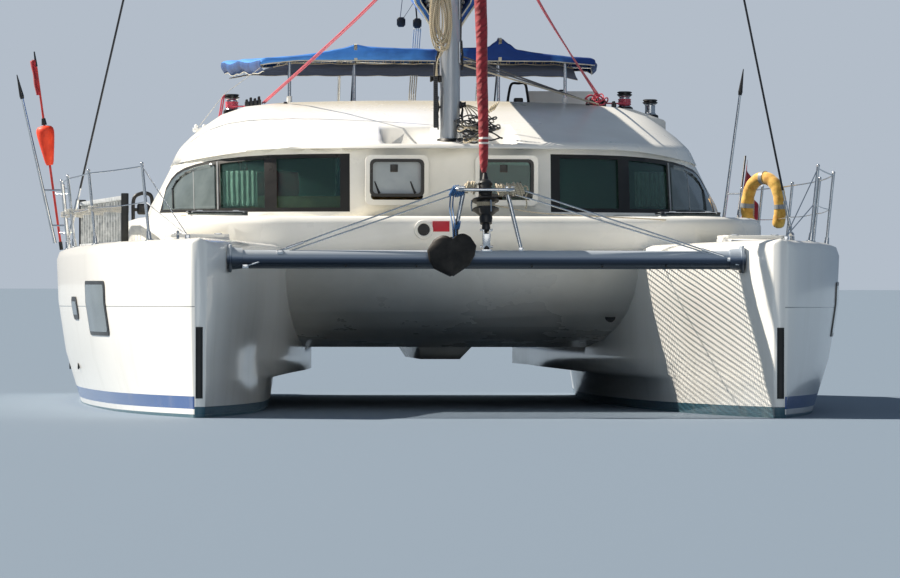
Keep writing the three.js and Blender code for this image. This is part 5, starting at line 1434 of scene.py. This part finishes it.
def build_canopy():
    def cloth(name, width, depth, place, material="acrylic_canvas", thickness=0.0016, offset=0.0, node=None):
        bm = bmesh.new()
        sheet_grid(bm, width, depth, place)
        piece = finished(name, bm, material, sharp=60, recalculate=False, node=node)
        return thicken(piece, thickness, offset)

    top = cloth("canopy_cloth", 150, 90, on_cloth, offset=1.0, node="bimini_canopy")
    # Valance down to its hem in front, and a short skirt round the sides and the back
    line = [on_cloth(1, k / 40) for k in range(41)] + [on_cloth(1 - k / 80, 1) for k in range(1, 81)]
    line += [on_cloth(0, 1 - k / 40) for k in range(1, 41)]

    def skirt(u, v):
        place = u * (len(line) - 1)
        low = min(int(place), len(line) - 2)
        start = line[low].lerp(line[low + 1], place - low)
        out = vec(start.x, (start.y - aft(8.5)) * 1.1, 0).normalized()
        deep = (0.1 if start.x < -1.4 else 0.06) + 0.006 * sin(place * 0.7)
        tuck = 0.05 if abs(start.x) > 1.4 else 0.0
        return start + out * (0.01 * sin(pi * min(v, 0.8)) - tuck * v * v) - up(deep * v)

    valance = cloth("canopy_valance", 150, 8, on_valance)
    # The skirt's darker canvas is painted shade
    sides = cloth("canopy_skirt", 160, 5, skirt, "canvas_edge_painted_shade")
    # White binding along the hems, and straps over the ridge tubes
    bm = bmesh.new()
    swept(bm, [on_valance(k / 100, 1) for k in range(101)], 0.0055, 6)
    swept(bm, [skirt(k / 160, 1) for k in range(161)], 0.0045, 6)
    for x in (-RIDGE_X, RIDGE_X):
        run = [on_cloth(across(x, CLOTH_FRONT + (CLOTH_REAR - CLOTH_FRONT) * k / 40), k / 40) + up(0.004)
               for k in range(41)]
        hem = on_valance(across(x, BOWS[0][0]), 1) + vec(0, -0.006, 0)
        webbing(bm, [hem, run[0] + vec(0, -0.012, -0.01), *run], (0.014, 0, 0), (0, -0.0012, 0.0022))
    binding = finished("canopy_binding", bm, "curtain_cotton")

    # A second cloth laced level under the tubes, its scalloped edges bound in white; its dark navy is painted
    # shade
    def under(u, v):
        x = -(1.36 + 0.3 * v) * (1 - u) + (1.3 + 0.25 * v) * u
        back = 7.34 + 2.3 * v
        z = 2.984 - 0.03 * v - 0.012 * sin(pi * v) + 0.004 * noise.noise(vec(x * 3, back * 3, 7))
        edge = 0.007 * abs(sin(x * 11)) * (1 if v > 0.99 or v < 0.01 else 0)
        return spot(x, back, z - edge - 0.03 * max(0.0, abs(u * 2 - 1) - 0.9) / 0.1)

    lining = cloth("canopy_lining", 120, 60, under, "canvas_navy_and_painted_shade", 0.0014)
    # Lacing that holds the lining to the front and rear bows, over its bound edges
    bm = bmesh.new()
    for v, back in ((0, 7.25), (1, 9.75)):
        swept(bm, [under(k / 90, v) for k in range(91)], 0.005, 6)
        for k in range(34):
            hole = under((k + 0.4) / 34, v)
            over = spot(hole.x + 0.02, back, bow_height(hole.x, back) - 0.017)
            swept(bm, [hole, over, under((k + 0.75) / 34, v)], 0.003, 6)
    lacing = finished("lining_lacing", bm, "rope_beige")


# Rails and what hangs on them

STANCHIONS = (1.0, 3.0, 5.0, 7.1, 9.0, 10.05)
# Distance aft, half width of the deck and height of its edge
DECK_EDGE = (
    (0.5, 0.29, 1.377), (1.2, 0.52, 1.372), (2.2, 0.74, 1.362), (3.0, 0.84, 1.352), (5.0, 0.985, 1.34),
    (7.0, 1.015, 1.332), (9.0, 0.975, 1.328), (10.5, 0.88, 1.325),
)
# How far in the stanchions' feet stand, how far out they lean and how high they rise
POST_INSET, POST_LEAN, POST_HEIGHT = 0.095, 0.06, 0.6
# Fishing-rod-like poles: foot and head; the flag's staff
POLES = {
    "starboard": (spot(-3.262, 9.07, 1.4), spot(-3.61, 9.07, 2.93)),
    "port": (spot(2.935, 10.26, 1.335), spot(3.16, 10.26, 3.05)),
}
POLE_RADIUS = 0.017
STAFF = (spot(3.062, 10.06, 1.45), spot(3.215, 10.56, 2.24))


def on_post(sign, back, part):
    """A point on a stanchion's line, this part of its height up."""
    half, sheer = at_row(DECK_EDGE, back)
    return spot(sign * (HULL_X + half - POST_INSET + POST_LEAN * part), back, sheer + POST_HEIGHT * part)


def post_at(sign, back, z):
    """The point on a stanchion's line at a height."""
    return on_post(sign, back, (z - at_row(DECK_EDGE, back)[1]) / POST_HEIGHT)


def build_rails():
    for side, sign in SIDES:
        bm = bmesh.new()
        for back in STANCHIONS:
            foot, top = on_post(sign, back, 0.0), on_post(sign, back, 1.0)
            rod(bm, on_post(sign, back, -0.03), top, 0.0125, sides=18)
            turned(bm, [(-0.02, 0.0), (-0.02, 0.036), (0.004, 0.036), (0.01, 0.022),
                        (0.07, 0.017), (0.075, 0.0)],
                   foot, foot + vec(sign * POST_LEAN, 0, POST_HEIGHT), 20)
            ball(bm, top, 0.0145, 8)
        # Upper and lower wire: part of the posts' height, dip and radius
        for start, end in zip(STANCHIONS, STANCHIONS[1:]):
            for part, dip, radius in ((0.965, 0.004, 0.0055), (0.5, 0.01, 0.0042)):
                a, b = on_post(sign, start, part), on_post(sign, end, part)
                swept(bm, [a.lerp(b, k / 12) - up(dip * sin(pi * k / 12)) for k in range(13)],
                      radius, 8)
        # Wires from the first post down to the bow's eye
        for part in (0.965, 0.5):
            swept(bm, [on_post(sign, 1.0, part), spot(sign * 2.33, 0.34, 1.405)], 0.0045, 8)
        box(bm, spot(sign * 2.31, 0.3, 1.36), spot(sign * 2.35, 0.37, 1.412), 0.006)
        # The pole, its black tip and the brackets that hold it to the nearest post
        foot, head = POLES[side]
        rod(bm, foot, head.lerp(foot, 0.08), POLE_RADIUS, POLE_RADIUS * 0.7, 20)
        staffs = [(foot, head)] + [STAFF] * (sign > 0)
        for low, high in staffs:
            for z in (1.56, 1.88):
                rod(bm, low.lerp(high, (z - low.z) / (high.z - low.z)),
                    post_at(sign, 9.0 if sign < 0 else 10.05, z),
                    0.008, sides=12)
        if sign < 0:
            for z in (1.5, 1.86):
                post, end = post_at(-1, 10.05, z), on_marker(z)
                rod(bm, post, end.lerp(post, 0.012 / (end - post).length), 0.008, sides=12)
        finished(f"rail_tubes_{side}", bm, "stainless_tube", node=f"rail_{side}")
        bm = bmesh.new()
        wide = POLE_RADIUS * 1.25
        rod(bm, head.lerp(foot, 0.13), head.lerp(foot, 0.002), wide, 0.004, 20)
        rod(bm, head.lerp(foot, 0.145), head.lerp(foot, 0.125), POLE_RADIUS, wide, 20)
        if sign > 0:
            rod(bm, *STAFF, 0.012, 0.009)
        finished(f"pole_tip_{side}", bm, "black_fitting")


def build_gangway():
    """A slatted boarding plank lashed on edge along the starboard rail."""
    length, low, high, half, rim = 4.21, 1.346, 1.75, 0.026, 0.034
    turn = Matrix.Translation(spot(-2.76, 3.0, 0)) @ Matrix.Rotation(atan2(0.28, 4.2), 4, "Z")
    bm = bmesh.new()
    for z in (low, high - rim):
        box(bm, (-half, 0, z), (half, length, z + rim), 0.006)
    for rib in range(17):
        y = 0.024 + (length - 0.048) * rib / 16
        box(bm, (-half * 0.6, y - 0.014, low + 0.014), (half * 0.6, y + 0.014, high - 0.014), 0.005)
    bmesh.ops.transform(bm, matrix=turn, verts=bm.verts)
    finished("gangway_plank", bm, "plank_enamel", node="gangway")
    bm = bmesh.new()
    for back in (3.0, 5.0, 7.1):
        post, plank = on_post(-1, back, 0.45), turn @ vec(0, back - 2.95, 0)
        middle, reach = (post.x + plank.x) / 2, abs(post.x - plank.x) / 2 + 0.036
        for lap in range(4):
            swept(bm, [(middle + reach * cos(a), aft(back) + 0.03 * sin(a),
                        1.62 + lap * 0.012 + 0.006 * sin(a * 2)) for a in angles(16)], 0.004, 6)
    finished("gangway_lashing", bm, "rope_white")
    # The plank's end caps, and a hoop on the side deck with its block
    bm = bmesh.new()
    for y in (-0.012, length + 0.012):
        box(bm, (-half - 0.004, y - 0.016, low - 0.004), (half + 0.004, y + 0.016, high + 0.02), 0.006)
    bmesh.ops.transform(bm, matrix=turn, verts=bm.verts)
    x = -2.47
    bent(bm, [spot(x + out, 9.0, z) for out, z in (
        (-0.085, 1.335), (-0.085, 1.62), (-0.08, 1.8), (-0.02, 1.85), (0.05, 1.85), (0.085, 1.8), (0.085, 1.62),
        (0.085, 1.335),
    )], 40, 0.017, 12)
    box(bm, spot(x - 0.05, 8.97, 1.66), spot(x + 0.07, 9.03, 1.76), 0.02, 3)
    block(bm, spot(x, 9.0, 1.705), (0.085, 0.012, 0.015), 0.006)
    finished("side_hoop", bm, "black_fitting")


def on_marker(z):
    """A point on the leaning marker pole."""
    return spot(-3.19 - 0.255 * (z - 1.345) / 1.835, 10.18, z)


def flag(name, slot, place, across, along, **cloth):
    """Makes a thin flag of a folded grid."""
    bm = bmesh.new()
    sheet_grid(bm, across, along, place)
    thicken(finished(name, bm, "flag_nylon", sharp=60, recalculate=False), 0.001)


def build_flags():
    """Marker pole with its float and rolled flag, and a plain red flag hanging from its staff."""
    bm = bmesh.new()
    rod(bm, on_marker(1.345), on_marker(2.6), 0.011, sides=18)
    rod(bm, on_marker(2.6), on_marker(3.05), 0.01, sides=18)
    finished("marker_pole", bm, "pole_red", node="danbuoy")
    bm = bmesh.new()
    rod(bm, on_marker(3.04), on_marker(3.178), 0.014, 0.006, 18)
    rod(bm, on_marker(2.5), on_marker(2.56), 0.026, 0.018, 20)
    rod(bm, on_marker(1.345), on_marker(1.42), 0.017, sides=18)
    finished("marker_bands", bm, "black_fitting")
    bm = bmesh.new()
    turned(bm, [(0.0, 0.012), (0.0, 0.03), (0.03, 0.041), (0.1, 0.053), (0.2, 0.07), (0.27, 0.08),
                (0.31, 0.083),
                (0.34, 0.078), (0.358, 0.062), (0.366, 0.034), (0.368, 0.012)],
           on_marker(2.128), on_marker(3.1), 40)
    finished("marker_float", bm, "orange_foam")

    def rolled(u, v):
        angle = u * tau * 1.7
        reach = 0.008 + (0.014 + 0.01 * v) * u + 0.003 * sin(v * 11 + u * 5)
        out = vec(-0.018 + reach * cos(angle), reach * sin(angle), -0.015 * u * v)
        return on_marker(2.775 + 0.33 * v) + out

    def hung(u, v):
        fold = 0.045 * sin(u * 13 + v * 2) * (0.2 + 0.8 * u)
        out = vec(0.014 + 0.1 * u + fold, 0.2 * u - fold * 0.5, -0.46 * u ** 1.1)
        return STAFF[0].lerp(STAFF[1], 0.53 + 0.43 * v) + out

    flag("marker_flag", "orange", rolled, 40, 28, flat=(0.19, 0.33), held="folded", rests_on=["marker_pole"])
    flag("ensign_cloth", "sail_red", hung, 40, 24,
         flat=(0.55, 0.41), held="hung", rests_on=["rail_tubes_port"])


def build_buoys():
    # Horseshoe buoy in its quilted cover: across and up its outline, turned 40 degrees
    outline = [(-0.17, -0.25), (-0.205, -0.06), (-0.15, 0.13), (0, 0.205), (0.15, 0.13), (0.205, -0.06),
               (0.17, -0.25)]
    aside, along = sin(radians(40)), cos(radians(40))
    points = curve_through([spot(3.08 - y * aside, 8.0 + y * along, 1.79 + z) for y, z in outline], 72)
    radii = []
    for k in range(73):
        end = min(k / 72, 1 - k / 72)
        round_end = min(1.0, sqrt(max(end, 0.0005) / 0.035))
        radii.append(0.0575 * round_end * (1 - 0.06 * (sin(k / 72 * pi * 14) ** 8)))
    bm = bmesh.new()
    swept(bm, points, radii, 28)
    finished("horseshoe_buoy", bm, "yellow_cover", sharp=60, node="lifebuoy")
    bm = bmesh.new()
    for k in (12, 36, 59):
        centre, ahead = points[k], (points[k + 1] - points[k - 1]).normalized()
        out = ahead.orthogonal().normalized()
        side = ahead.cross(out)
        turns = angles(24)
        for a0, a1 in zip(turns, turns[1:]):
            middle = (a0 + a1) / 2
            plate(bm, [centre + 0.0585 * (out * cos(a) + side * sin(a)) + ahead * w
                       for a, w in ((a0, -0.02), (a1, -0.02), (a1, 0.02), (a0, 0.02))],
                  (out * cos(middle) + side * sin(middle)) * 0.002)
    finished("buoy_straps", bm, "grey_trim")
    bm = bmesh.new()
    ball(bm, spot(3.055, 9.55, 1.55), (0.045, 0.045, 0.07), 10)
    rod(bm, spot(3.055, 9.55, 1.6), spot(3.075, 9.55, 1.7), 0.006, sides=8)
    finished("small_float", bm, "orange_foam")
    bm = bmesh.new()
    random.seed(9)
    for turn in range(8):
        wide, long = 0.075 + uniform(-0.01, 0.01), 0.15 + uniform(-0.02, 0.02)
        middle = spot(3.06 + 0.0048 * turn, 8.86 + 0.012 * turn, 1.75)
        swept(bm, [middle + vec(0, wide * sin(a), long * cos(a)) for a in angles(24)], 0.0055, 7)
    finished("rail_rope_coil", bm, "rope_beige")


def build_winches():
    for node, top in WINCH_TOPS.items():
        low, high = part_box(node)
        base = vec((low.x + high.x) / 2, (low.y + high.y) / 2, top)
        axis, foot = base + up(1), low.z - top + 0.004
        # Grooved drum
        bm = bmesh.new()
        grooves = [(-0.122 + 0.0075 * k, 0.0445 if k % 2 else 0.046) for k in range(10)]
        turned(bm, [(-0.135, 0.0), (-0.135, 0.056), (-0.126, 0.05), *grooves, (-0.05, 0.05), (-0.044, 0.056),
                    (-0.04, 0.056), (-0.04, 0.0)], base, axis, 48)
        finished(f"{node}_drum", bm, "stainless_tube", node=node)
        # Base, self-tailing jaws with the socket for the handle, and feeder arm
        bm = bmesh.new()
        turned(bm, [(foot, 0.0), (foot, 0.074), (-0.15, 0.074), (-0.142, 0.07), (-0.136, 0.058), (-0.134, 0.0)],
               base, axis, 48)
        turned(bm, [(-0.042, 0.0), (-0.042, 0.056), (-0.034, 0.067), (-0.027, 0.067), (-0.022, 0.055),
                    (-0.018, 0.055),
                    (-0.013, 0.066), (-0.006, 0.064), (0.0, 0.048), (0.0, 0.016), (-0.012, 0.015),
                    (-0.012, 0.0)],
               base, axis, 48)
        block(bm, base + vec(0, -0.064, -0.022), (0.012, 0.014, 0.01), 0.004)
        finished(f"{node}_jaws", bm, "black_fitting")
    bm = bmesh.new()
    # Rows of jammers: the first one's x, and how many
    for start, count in ((-1.606, 4), (1.432, 4), (1.63, 1)):
        for lane in range(count):
            x, y = start + lane * 0.036, aft(6.99)
            z = on_roof(x, 6.99).z
            box(bm, (x - 0.015, y - 0.07, z - 0.004), (x + 0.015, y + 0.09, z + 0.058), 0.008)
            box(bm, (x - 0.01, y - 0.02, z + 0.05), (x + 0.01, y + 0.1, z + 0.074 + 0.012 * (lane % 2)), 0.006)
    # Small pad eyes on the roof
    for x in (-1.285, 1.36):
        foot = on_roof(x, 6.6)
        rod(bm, foot - up(0.004), foot + up(0.016), 0.02, 0.014)
    # Handle frame on the roof and a small vent box
    for back in (7.9, 7.93):
        bent(bm, [spot(x, back, z) for x, z in ((0.76, 2.63), (0.775, 2.74), (0.8, 2.825), (0.86, 2.83),
                                                (0.92, 2.825),
                                                (0.94, 2.74), (0.955, 2.63))], 24, 0.011, 10)
    box(bm, spot(0.82, 7.86, 2.635), spot(0.9, 7.96, 2.7), 0.012, 3)
    finished("jammers", bm, "black_fitting")
    # White fairlead at the roof's starboard edge, and the thin line that runs to it
    bm = bmesh.new()
    lead = on_roof(-2.02, 7.0)
    box(bm, lead + vec(-0.06, -0.03, -0.01), lead + vec(0.07, 0.03, 0.03), 0.012, 3)
    for step in (-0.03, 0.04):
        ball(bm, lead + vec(step, 0, 0.04), (0.018, 0.02, 0.02), 8)
    finished("roof_fairlead", bm, "liner_gelcoat")
    bm = bmesh.new()
    swept(bm, [on_cloth(0.02, 0.02) - up(0.05), spot(-1.8, 7.2, 2.7), lead + up(0.045)], 0.003, 6)
    finished("canopy_tie", bm, "rope_white")


# Inside and the cockpit


def cushions(name, material, blocks, node=None):
    """Makes stuffed blocks, of a centre and half sizes each, whose faces swell between their corners."""
    bm = bmesh.new()
    for centre, half in blocks:
        before = set(bm.verts)
        made = bmesh.ops.create_cube(bm, size=2)["verts"]
        bmesh.ops.subdivide_edges(bm, edges=edges_of(made), cuts=9, use_grid_fill=True)
        for vert in [v for v in bm.verts if v not in before]:
            place = []
            for axis, size in enumerate(half):
                value = vert.co[axis]
                b, c = [vert.co[i] ** 2 for i in range(3) if i != axis]
                soft = value * sqrt(max(0, 1 - b / 2 - c / 2 + b * c / 3))
                # The least side is all round, the others only near their ends
                corner = min(min(half) / size * 0.484, 1)
                place.append(size * (value * (1 - corner) + soft * corner))
            vert.co = Vector(centre) + Vector(place)
    finished(name, bm, material, sharp=70, node=node)


def build_saloon():
    coat("saloon_settee", "red_upholstery")
    cushions("settee_cushions", "red_upholstery", (
        (spot(-0.4, 5.36, 1.09), (0.86, 0.2, 0.08)), (spot(-1.46, 6.35, 1.09), (0.24, 0.92, 0.08)),
        (spot(-0.42, 5.17, 1.47), (0.86, 0.095, 0.34)), (spot(-1.665, 6.45, 1.47), (0.085, 0.82, 0.34)),
        (spot(-1.42, 5.3, 1.86), (0.2, 0.1, 0.14)),
    ), "saloon_settee")
    # The settee's two bases and backs, and the table's top
    bm = bmesh.new()
    for low, high, edge in (
        ((-1.735, 5.085, 0.63), (0.495, 5.62, 1.02), 0.01),
        ((-1.735, 5.085, 0.63), (-1.19, 7.295, 1.02), 0.01),
        ((-1.735, 5.085, 1.01), (0.495, 5.115, 1.78), 0.01),
        ((-1.735, 5.085, 1.01), (-1.715, 7.295, 1.78), 0.005),
        ((-1.1, 5.75, 1.18), (0.3, 6.95, 1.21), 0.01),
    ):
        box(bm, spot(*low), spot(*high), edge)
    rod(bm, spot(-0.4, 6.35, 0.62), spot(-0.4, 6.35, 1.185), 0.05, sides=24)
    finished("settee_base", bm, "teak_step")
    # Curtains gathered behind the outer panes, 45 mm inside the glass
    for side, sign in SIDES:
        def place(u, v):
            glass = onto(f"window_glass_{side}", spot(sign * (1.6 + 0.5 * u), 6.4, 1.69 + 0.3 * v), (0, -1, 0))
            return glass + vec(0, 0.045 + 0.016 * sin(u * 75), 0)

        bm = bmesh.new()
        sheet_grid(bm, 130, 8, place)
        piece = finished(f"curtain_{side}", bm, "curtain_linen", sharp=70, recalculate=False)
        curtain = thicken(piece, 0.0015)


def build_cockpit():
    for node in ("cockpit_seats", "helm_console", "helm_seat"):
        skin(node, "liner_gelcoat", 25)
    coat("saloon_door", "smoked_acrylic")
    hub = spot(1.27, 8.33, 1.96)

    def on_wheel(angle, radius, back=0.0):
        return hub + vec(radius * cos(angle), back, radius * sin(angle))

    bm = bmesh.new()
    swept(bm, [on_wheel(a, 0.34) for a in angles(64)], 0.0145, 14)
    for spoke in range(5):
        a = tau * spoke / 5 + pi / 2
        swept(bm, [on_wheel(a, 0.03), on_wheel(a, 0.2, 0.006), on_wheel(a, 0.335)], [0.01, 0.008, 0.007], 12)
    turned(bm, [(-0.04, 0), (-0.04, 0.046), (-0.01, 0.05), (0.018, 0.048), (0.024, 0.03), (0.024, 0)], hub,
           hub + vec(0, 1, 0))
    finished("wheel_rim", bm, "stainless_tube", body="steering_wheel", node="steering_wheel")
    bm = bmesh.new()
    # Compass, engine levers and blank instruments
    ball(bm, spot(1.27, 8.16, 2.745), (0.055, 0.055, 0.04), 10)
    for x in (1.06, 1.2, 1.34, 1.48):
        box(bm, spot(x - 0.055, 8.243, 2.42), spot(x + 0.055, 8.262, 2.53), 0.006)
    for x in (1.44, 1.5):
        rod(bm, spot(x, 8.25, 2.22), spot(x, 8.33, 2.3), 0.008, sides=12)
        ball(bm, spot(x, 8.335, 2.305), 0.018, 8)
    finished("helm_instruments", bm, "black_fitting")
    cushions("cockpit_cushions", "acrylic_canvas", (
        (spot(-1.55, 9.2, 1.085), (0.2, 0.92, 0.034)), (spot(-0.2, 10.32, 1.085), (1.0, 0.19, 0.034)),
        (spot(1.27, 9.1, 1.515), (0.3, 0.19, 0.034)),
    ))
    # Door frame with its handle
    bm = bmesh.new()
    low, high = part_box("saloon_door")
    for x0, x1, z0, z1 in ((low.x, low.x + 0.05, low.z, high.z), (high.x - 0.05, high.x, low.z, high.z),
                           (low.x, high.x, low.z, low.z + 0.06), (low.x, high.x, high.z - 0.05, high.z)):
        box(bm, (x0, low.y - 0.001, z0), (x1, high.y + 0.001, z1), 0.004)
    box(bm, (high.x - 0.04, high.y, 1.62), (high.x - 0.015, high.y + 0.03, 1.8), 0.006)
    finished("door_frame", bm, "anodised_spar", body="saloon_door")
    # Bulkhead's windows, 3 mm clear of the sliding door, and dark strips on the cockpit's sole
    bm = bmesh.new()
    for x0, x1 in ((-1.75, -0.9), (0.1, 0.9)):
        box(bm, spot(x0, 7.992, 1.78), (x1, low.y - 0.003, 2.24), 0.001)
    for sign in (-1, 1):
        box(bm, spot(sign * 1.72, 8.2, 0.628), spot(sign * 0.6, 10.0, 0.636), 0.002)
    finished("bulkhead_windows", bm, "smoked_acrylic")


# Stage


def placed(name, data):
    """Adds an object to the scene."""
    made = bpy.data.objects.new(name, data)
    made.rotation_mode = "QUATERNION"
    bpy.context.scene.collection.objects.link(made)
    return made


def build_stage():
    bm = bmesh.new()
    bmesh.ops.create_circle(bm, cap_ends=True, segments=96, radius=1500)
    mesh = bpy.data.meshes.new("floor")
    bm.to_mesh(mesh)
    bm.free()
    start_material("floor_matt", Base_Color="#6c7c8d", Roughness=0.75)
    mesh.materials.append(MATERIALS["floor_matt"])
    placed("floor", mesh)
    scene = bpy.context.scene
    scene.world = bpy.data.worlds.new("studio")
    scene.world.use_nodes = True
    # A pale backdrop to look at, over a dimmer and bluer fill light
    tree = scene.world.node_tree
    shown = fill(tree.nodes["Background"], Color="#b3bdc9")
    dim = add_node(tree, "Background", "#8fa3ba", 0.52)
    seen = add_node(tree, "LightPath").outputs["Is Camera Ray"]
    fill(tree.nodes["World Output"], Surface=add_node(tree, "MixShader", seen, dim, shown))
    # The sun, and a broad weak light from ahead
    for name, energy, spread, colour, source in (
        ("sun", 8.2, 0.6, "#fff5e6", SUN_FROM), ("fore_light", 0.5, 40, "#f4f1ea", (0, -0.94, 0.34)),
    ):
        lamp = bpy.data.lights.new(name, "SUN")
        lamp.energy, lamp.angle, lamp.color = energy, radians(spread), linear(colour)[:3]
        placed(name, lamp).rotation_quaternion = Vector(source).to_track_quat("Z", "Y")
    lens = bpy.data.cameras.new("photo_view")
    lens.lens, lens.sensor_width, lens.clip_end = LENS, SENSOR, 3000
    scene.camera = placed("photo_view", lens)
    scene.camera.location = EYE
    look = vec(sin(HEADING) * cos(PITCH), cos(HEADING) * cos(PITCH), sin(PITCH))
    roll = Matrix.Rotation(ROLL, 3, "Z").to_quaternion()
    scene.camera.rotation_quaternion = look.to_track_quat("-Z", "Y") @ roll
    scene.view_settings.view_transform, scene.view_settings.look = "Standard", "None"


# Add-on


def colour(name, description, default):
    """A colour that a user would change, as sRGB hex."""
    return bpy.props.StringProperty(name=name, description=description, default=default)


class CatamaranColours(bpy.types.PropertyGroup):
    """Colours that a user would change."""

    gelcoat: colour("Gelcoat", "White of the mouldings", "#f4f3ee")
    deck_grip: colour("Deck grip", "Cream of the grip", "#e2dccb")
    antifoul: colour("Antifouling", "Teal under the stripes", "#3a5f6d")
    stripe: colour("Boot stripe", "Blue stripe", "#2c5391")
    # Canvas and canvas shade stand for the canopy's cloth in sun and in shade; the canvas finish leans to the
    # first toward starboard, as painted sunlight
    canvas: colour("Canvas", "Bleached blue of the canopy", "#4a8fe0")
    canvas_shade: colour("Canvas shade", "Deep blue of the canopy", "#123c86")
    sail: colour("Sail strip", "Lit red of the rolled sail", "#a82a34")
    sail_shade: colour("Sail strip shade", "Deep red of the sail", "#7d1620")
    beam: colour("Crossbeam", "Blue-grey of the beam", "#b4babf")
    net: colour("Net", "Off-white of the net", "#dedbd0")
    float_orange: colour("Float", "Orange of the marker float", "#ff4a20")


class CatamaranSizes(bpy.types.PropertyGroup):
    """Sizes that a user would change."""

    sheet_radius: bpy.props.FloatProperty(
        name="Sheet radius", description="Radius of the headsail's sheets",
        default=0.0075, min=0.003, unit="LENGTH",
    )
    wire_radius: bpy.props.FloatProperty(
        name="Shroud radius", description="Radius of the covered shrouds",
        default=0.0095, min=0.004, unit="LENGTH",
    )


class CATAMARAN_OT_stage(bpy.types.Operator):
    """Set the floor, the light and the camera"""

    bl_idname = "catamaran.stage"
    bl_label = "Stage"

    def execute(self, context):
        build_stage()
        return {"FINISHED"}


class CATAMARAN_OT_materials(bpy.types.Operator):
    """Make every finish"""

    bl_idname = "catamaran.materials"
    bl_label = "Finishes"

    def execute(self, context):
        make_materials(context.scene.catamaran_colours)
        return {"FINISHED"}


class CATAMARAN_OT_hulls(bpy.types.Operator):
    """Dress the hulls, keels, rudders and drives"""

    bl_idname = "catamaran.hulls"
    bl_label = "Hulls"

    def execute(self, context):
        build_hulls()
        return {"FINISHED"}


class CATAMARAN_OT_cabin(bpy.types.Operator):
    """Dress the decks, the cabin and its windows"""

    bl_idname = "catamaran.cabin"
    bl_label = "Decks and cabin"

    def execute(self, context):
        build_decks()
        build_cabin()
        build_front_windows()
        return {"FINISHED"}


class CATAMARAN_OT_foredeck(bpy.types.Operator):
    """Build the crossbeam, net, striker, anchor and furled headsail"""

    bl_idname = "catamaran.foredeck"
    bl_label = "Foredeck gear"

    def execute(self, context):
        build_crossbeam()
        build_net()
        build_striker()
        build_anchor()
        build_forestay()
        return {"FINISHED"}


class CATAMARAN_OT_rig(bpy.types.Operator):
    """Build the mast, the shrouds and the running rigging"""

    bl_idname = "catamaran.rig"
    bl_label = "Rig"

    def execute(self, context):
        build_mast()
        build_shrouds(context.scene.catamaran_sizes)
        build_running_rigging()
        build_sheets(context.scene.catamaran_sizes)
        build_winches()
        return {"FINISHED"}


class CATAMARAN_OT_boom(bpy.types.Operator):
    """Build the boom, its sail cover and the mainsheet"""

    bl_idname = "catamaran.boom"
    bl_label = "Boom and sail cover"

    def execute(self, context):
        build_boom()
        build_bag()
        build_mainsheet()
        return {"FINISHED"}


class CATAMARAN_OT_canopy(bpy.types.Operator):
    """Build the canopy over the cockpit"""

    bl_idname = "catamaran.canopy"
    bl_label = "Canopy"

    def execute(self, context):
        build_canopy_frame()
        build_canopy()
        return {"FINISHED"}


class CATAMARAN_OT_rails(bpy.types.Operator):
    """Build the rails and what hangs on them"""

    bl_idname = "catamaran.rails"
    bl_label = "Rails, gangway and buoys"

    def execute(self, context):
        build_rails()
        build_gangway()
        build_flags()
        build_buoys()
        return {"FINISHED"}


class CATAMARAN_OT_saloon(bpy.types.Operator):
    """Furnish the saloon and the cockpit"""

    bl_idname = "catamaran.saloon"
    bl_label = "Saloon and cockpit"

    def execute(self, context):
        build_saloon()
        build_cockpit()
        return {"FINISHED"}


STEPS = (
    CATAMARAN_OT_stage, CATAMARAN_OT_materials, CATAMARAN_OT_hulls, CATAMARAN_OT_cabin, CATAMARAN_OT_foredeck,
    CATAMARAN_OT_rig, CATAMARAN_OT_boom, CATAMARAN_OT_canopy, CATAMARAN_OT_rails, CATAMARAN_OT_saloon,
)


class CATAMARAN_PT_steps(bpy.types.Panel):
    """Lists the catamaran's operators"""

    bl_idname = "CATAMARAN_PT_steps"
    bl_label = "Catamaran"
    bl_space_type = "VIEW_3D"
    bl_region_type = "UI"
    bl_category = "Catamaran"

    def draw(self, context):
        for step in STEPS:
            self.layout.operator(step.bl_idname)


CLASSES = (CatamaranColours, CatamaranSizes, *STEPS, CATAMARAN_PT_steps)


def register():
    for made in CLASSES:
        bpy.utils.register_class(made)
    bpy.types.Scene.catamaran_colours = bpy.props.PointerProperty(type=CatamaranColours)
    bpy.types.Scene.catamaran_sizes = bpy.props.PointerProperty(type=CatamaranSizes)


def unregister():
    del bpy.types.Scene.catamaran_sizes
    del bpy.types.Scene.catamaran_colours
    for made in reversed(CLASSES):
        bpy.utils.unregister_class(made)


def main():
    register()
    bpy.ops.catamaran.stage()
    bpy.ops.catamaran.materials()
    bpy.ops.catamaran.hulls()
    bpy.ops.catamaran.cabin()
    bpy.ops.catamaran.foredeck()
    bpy.ops.catamaran.rig()
    bpy.ops.catamaran.boom()
    bpy.ops.catamaran.canopy()
    bpy.ops.catamaran.rails()
    bpy.ops.catamaran.saloon()


if __name__ == "__main__":
    main()
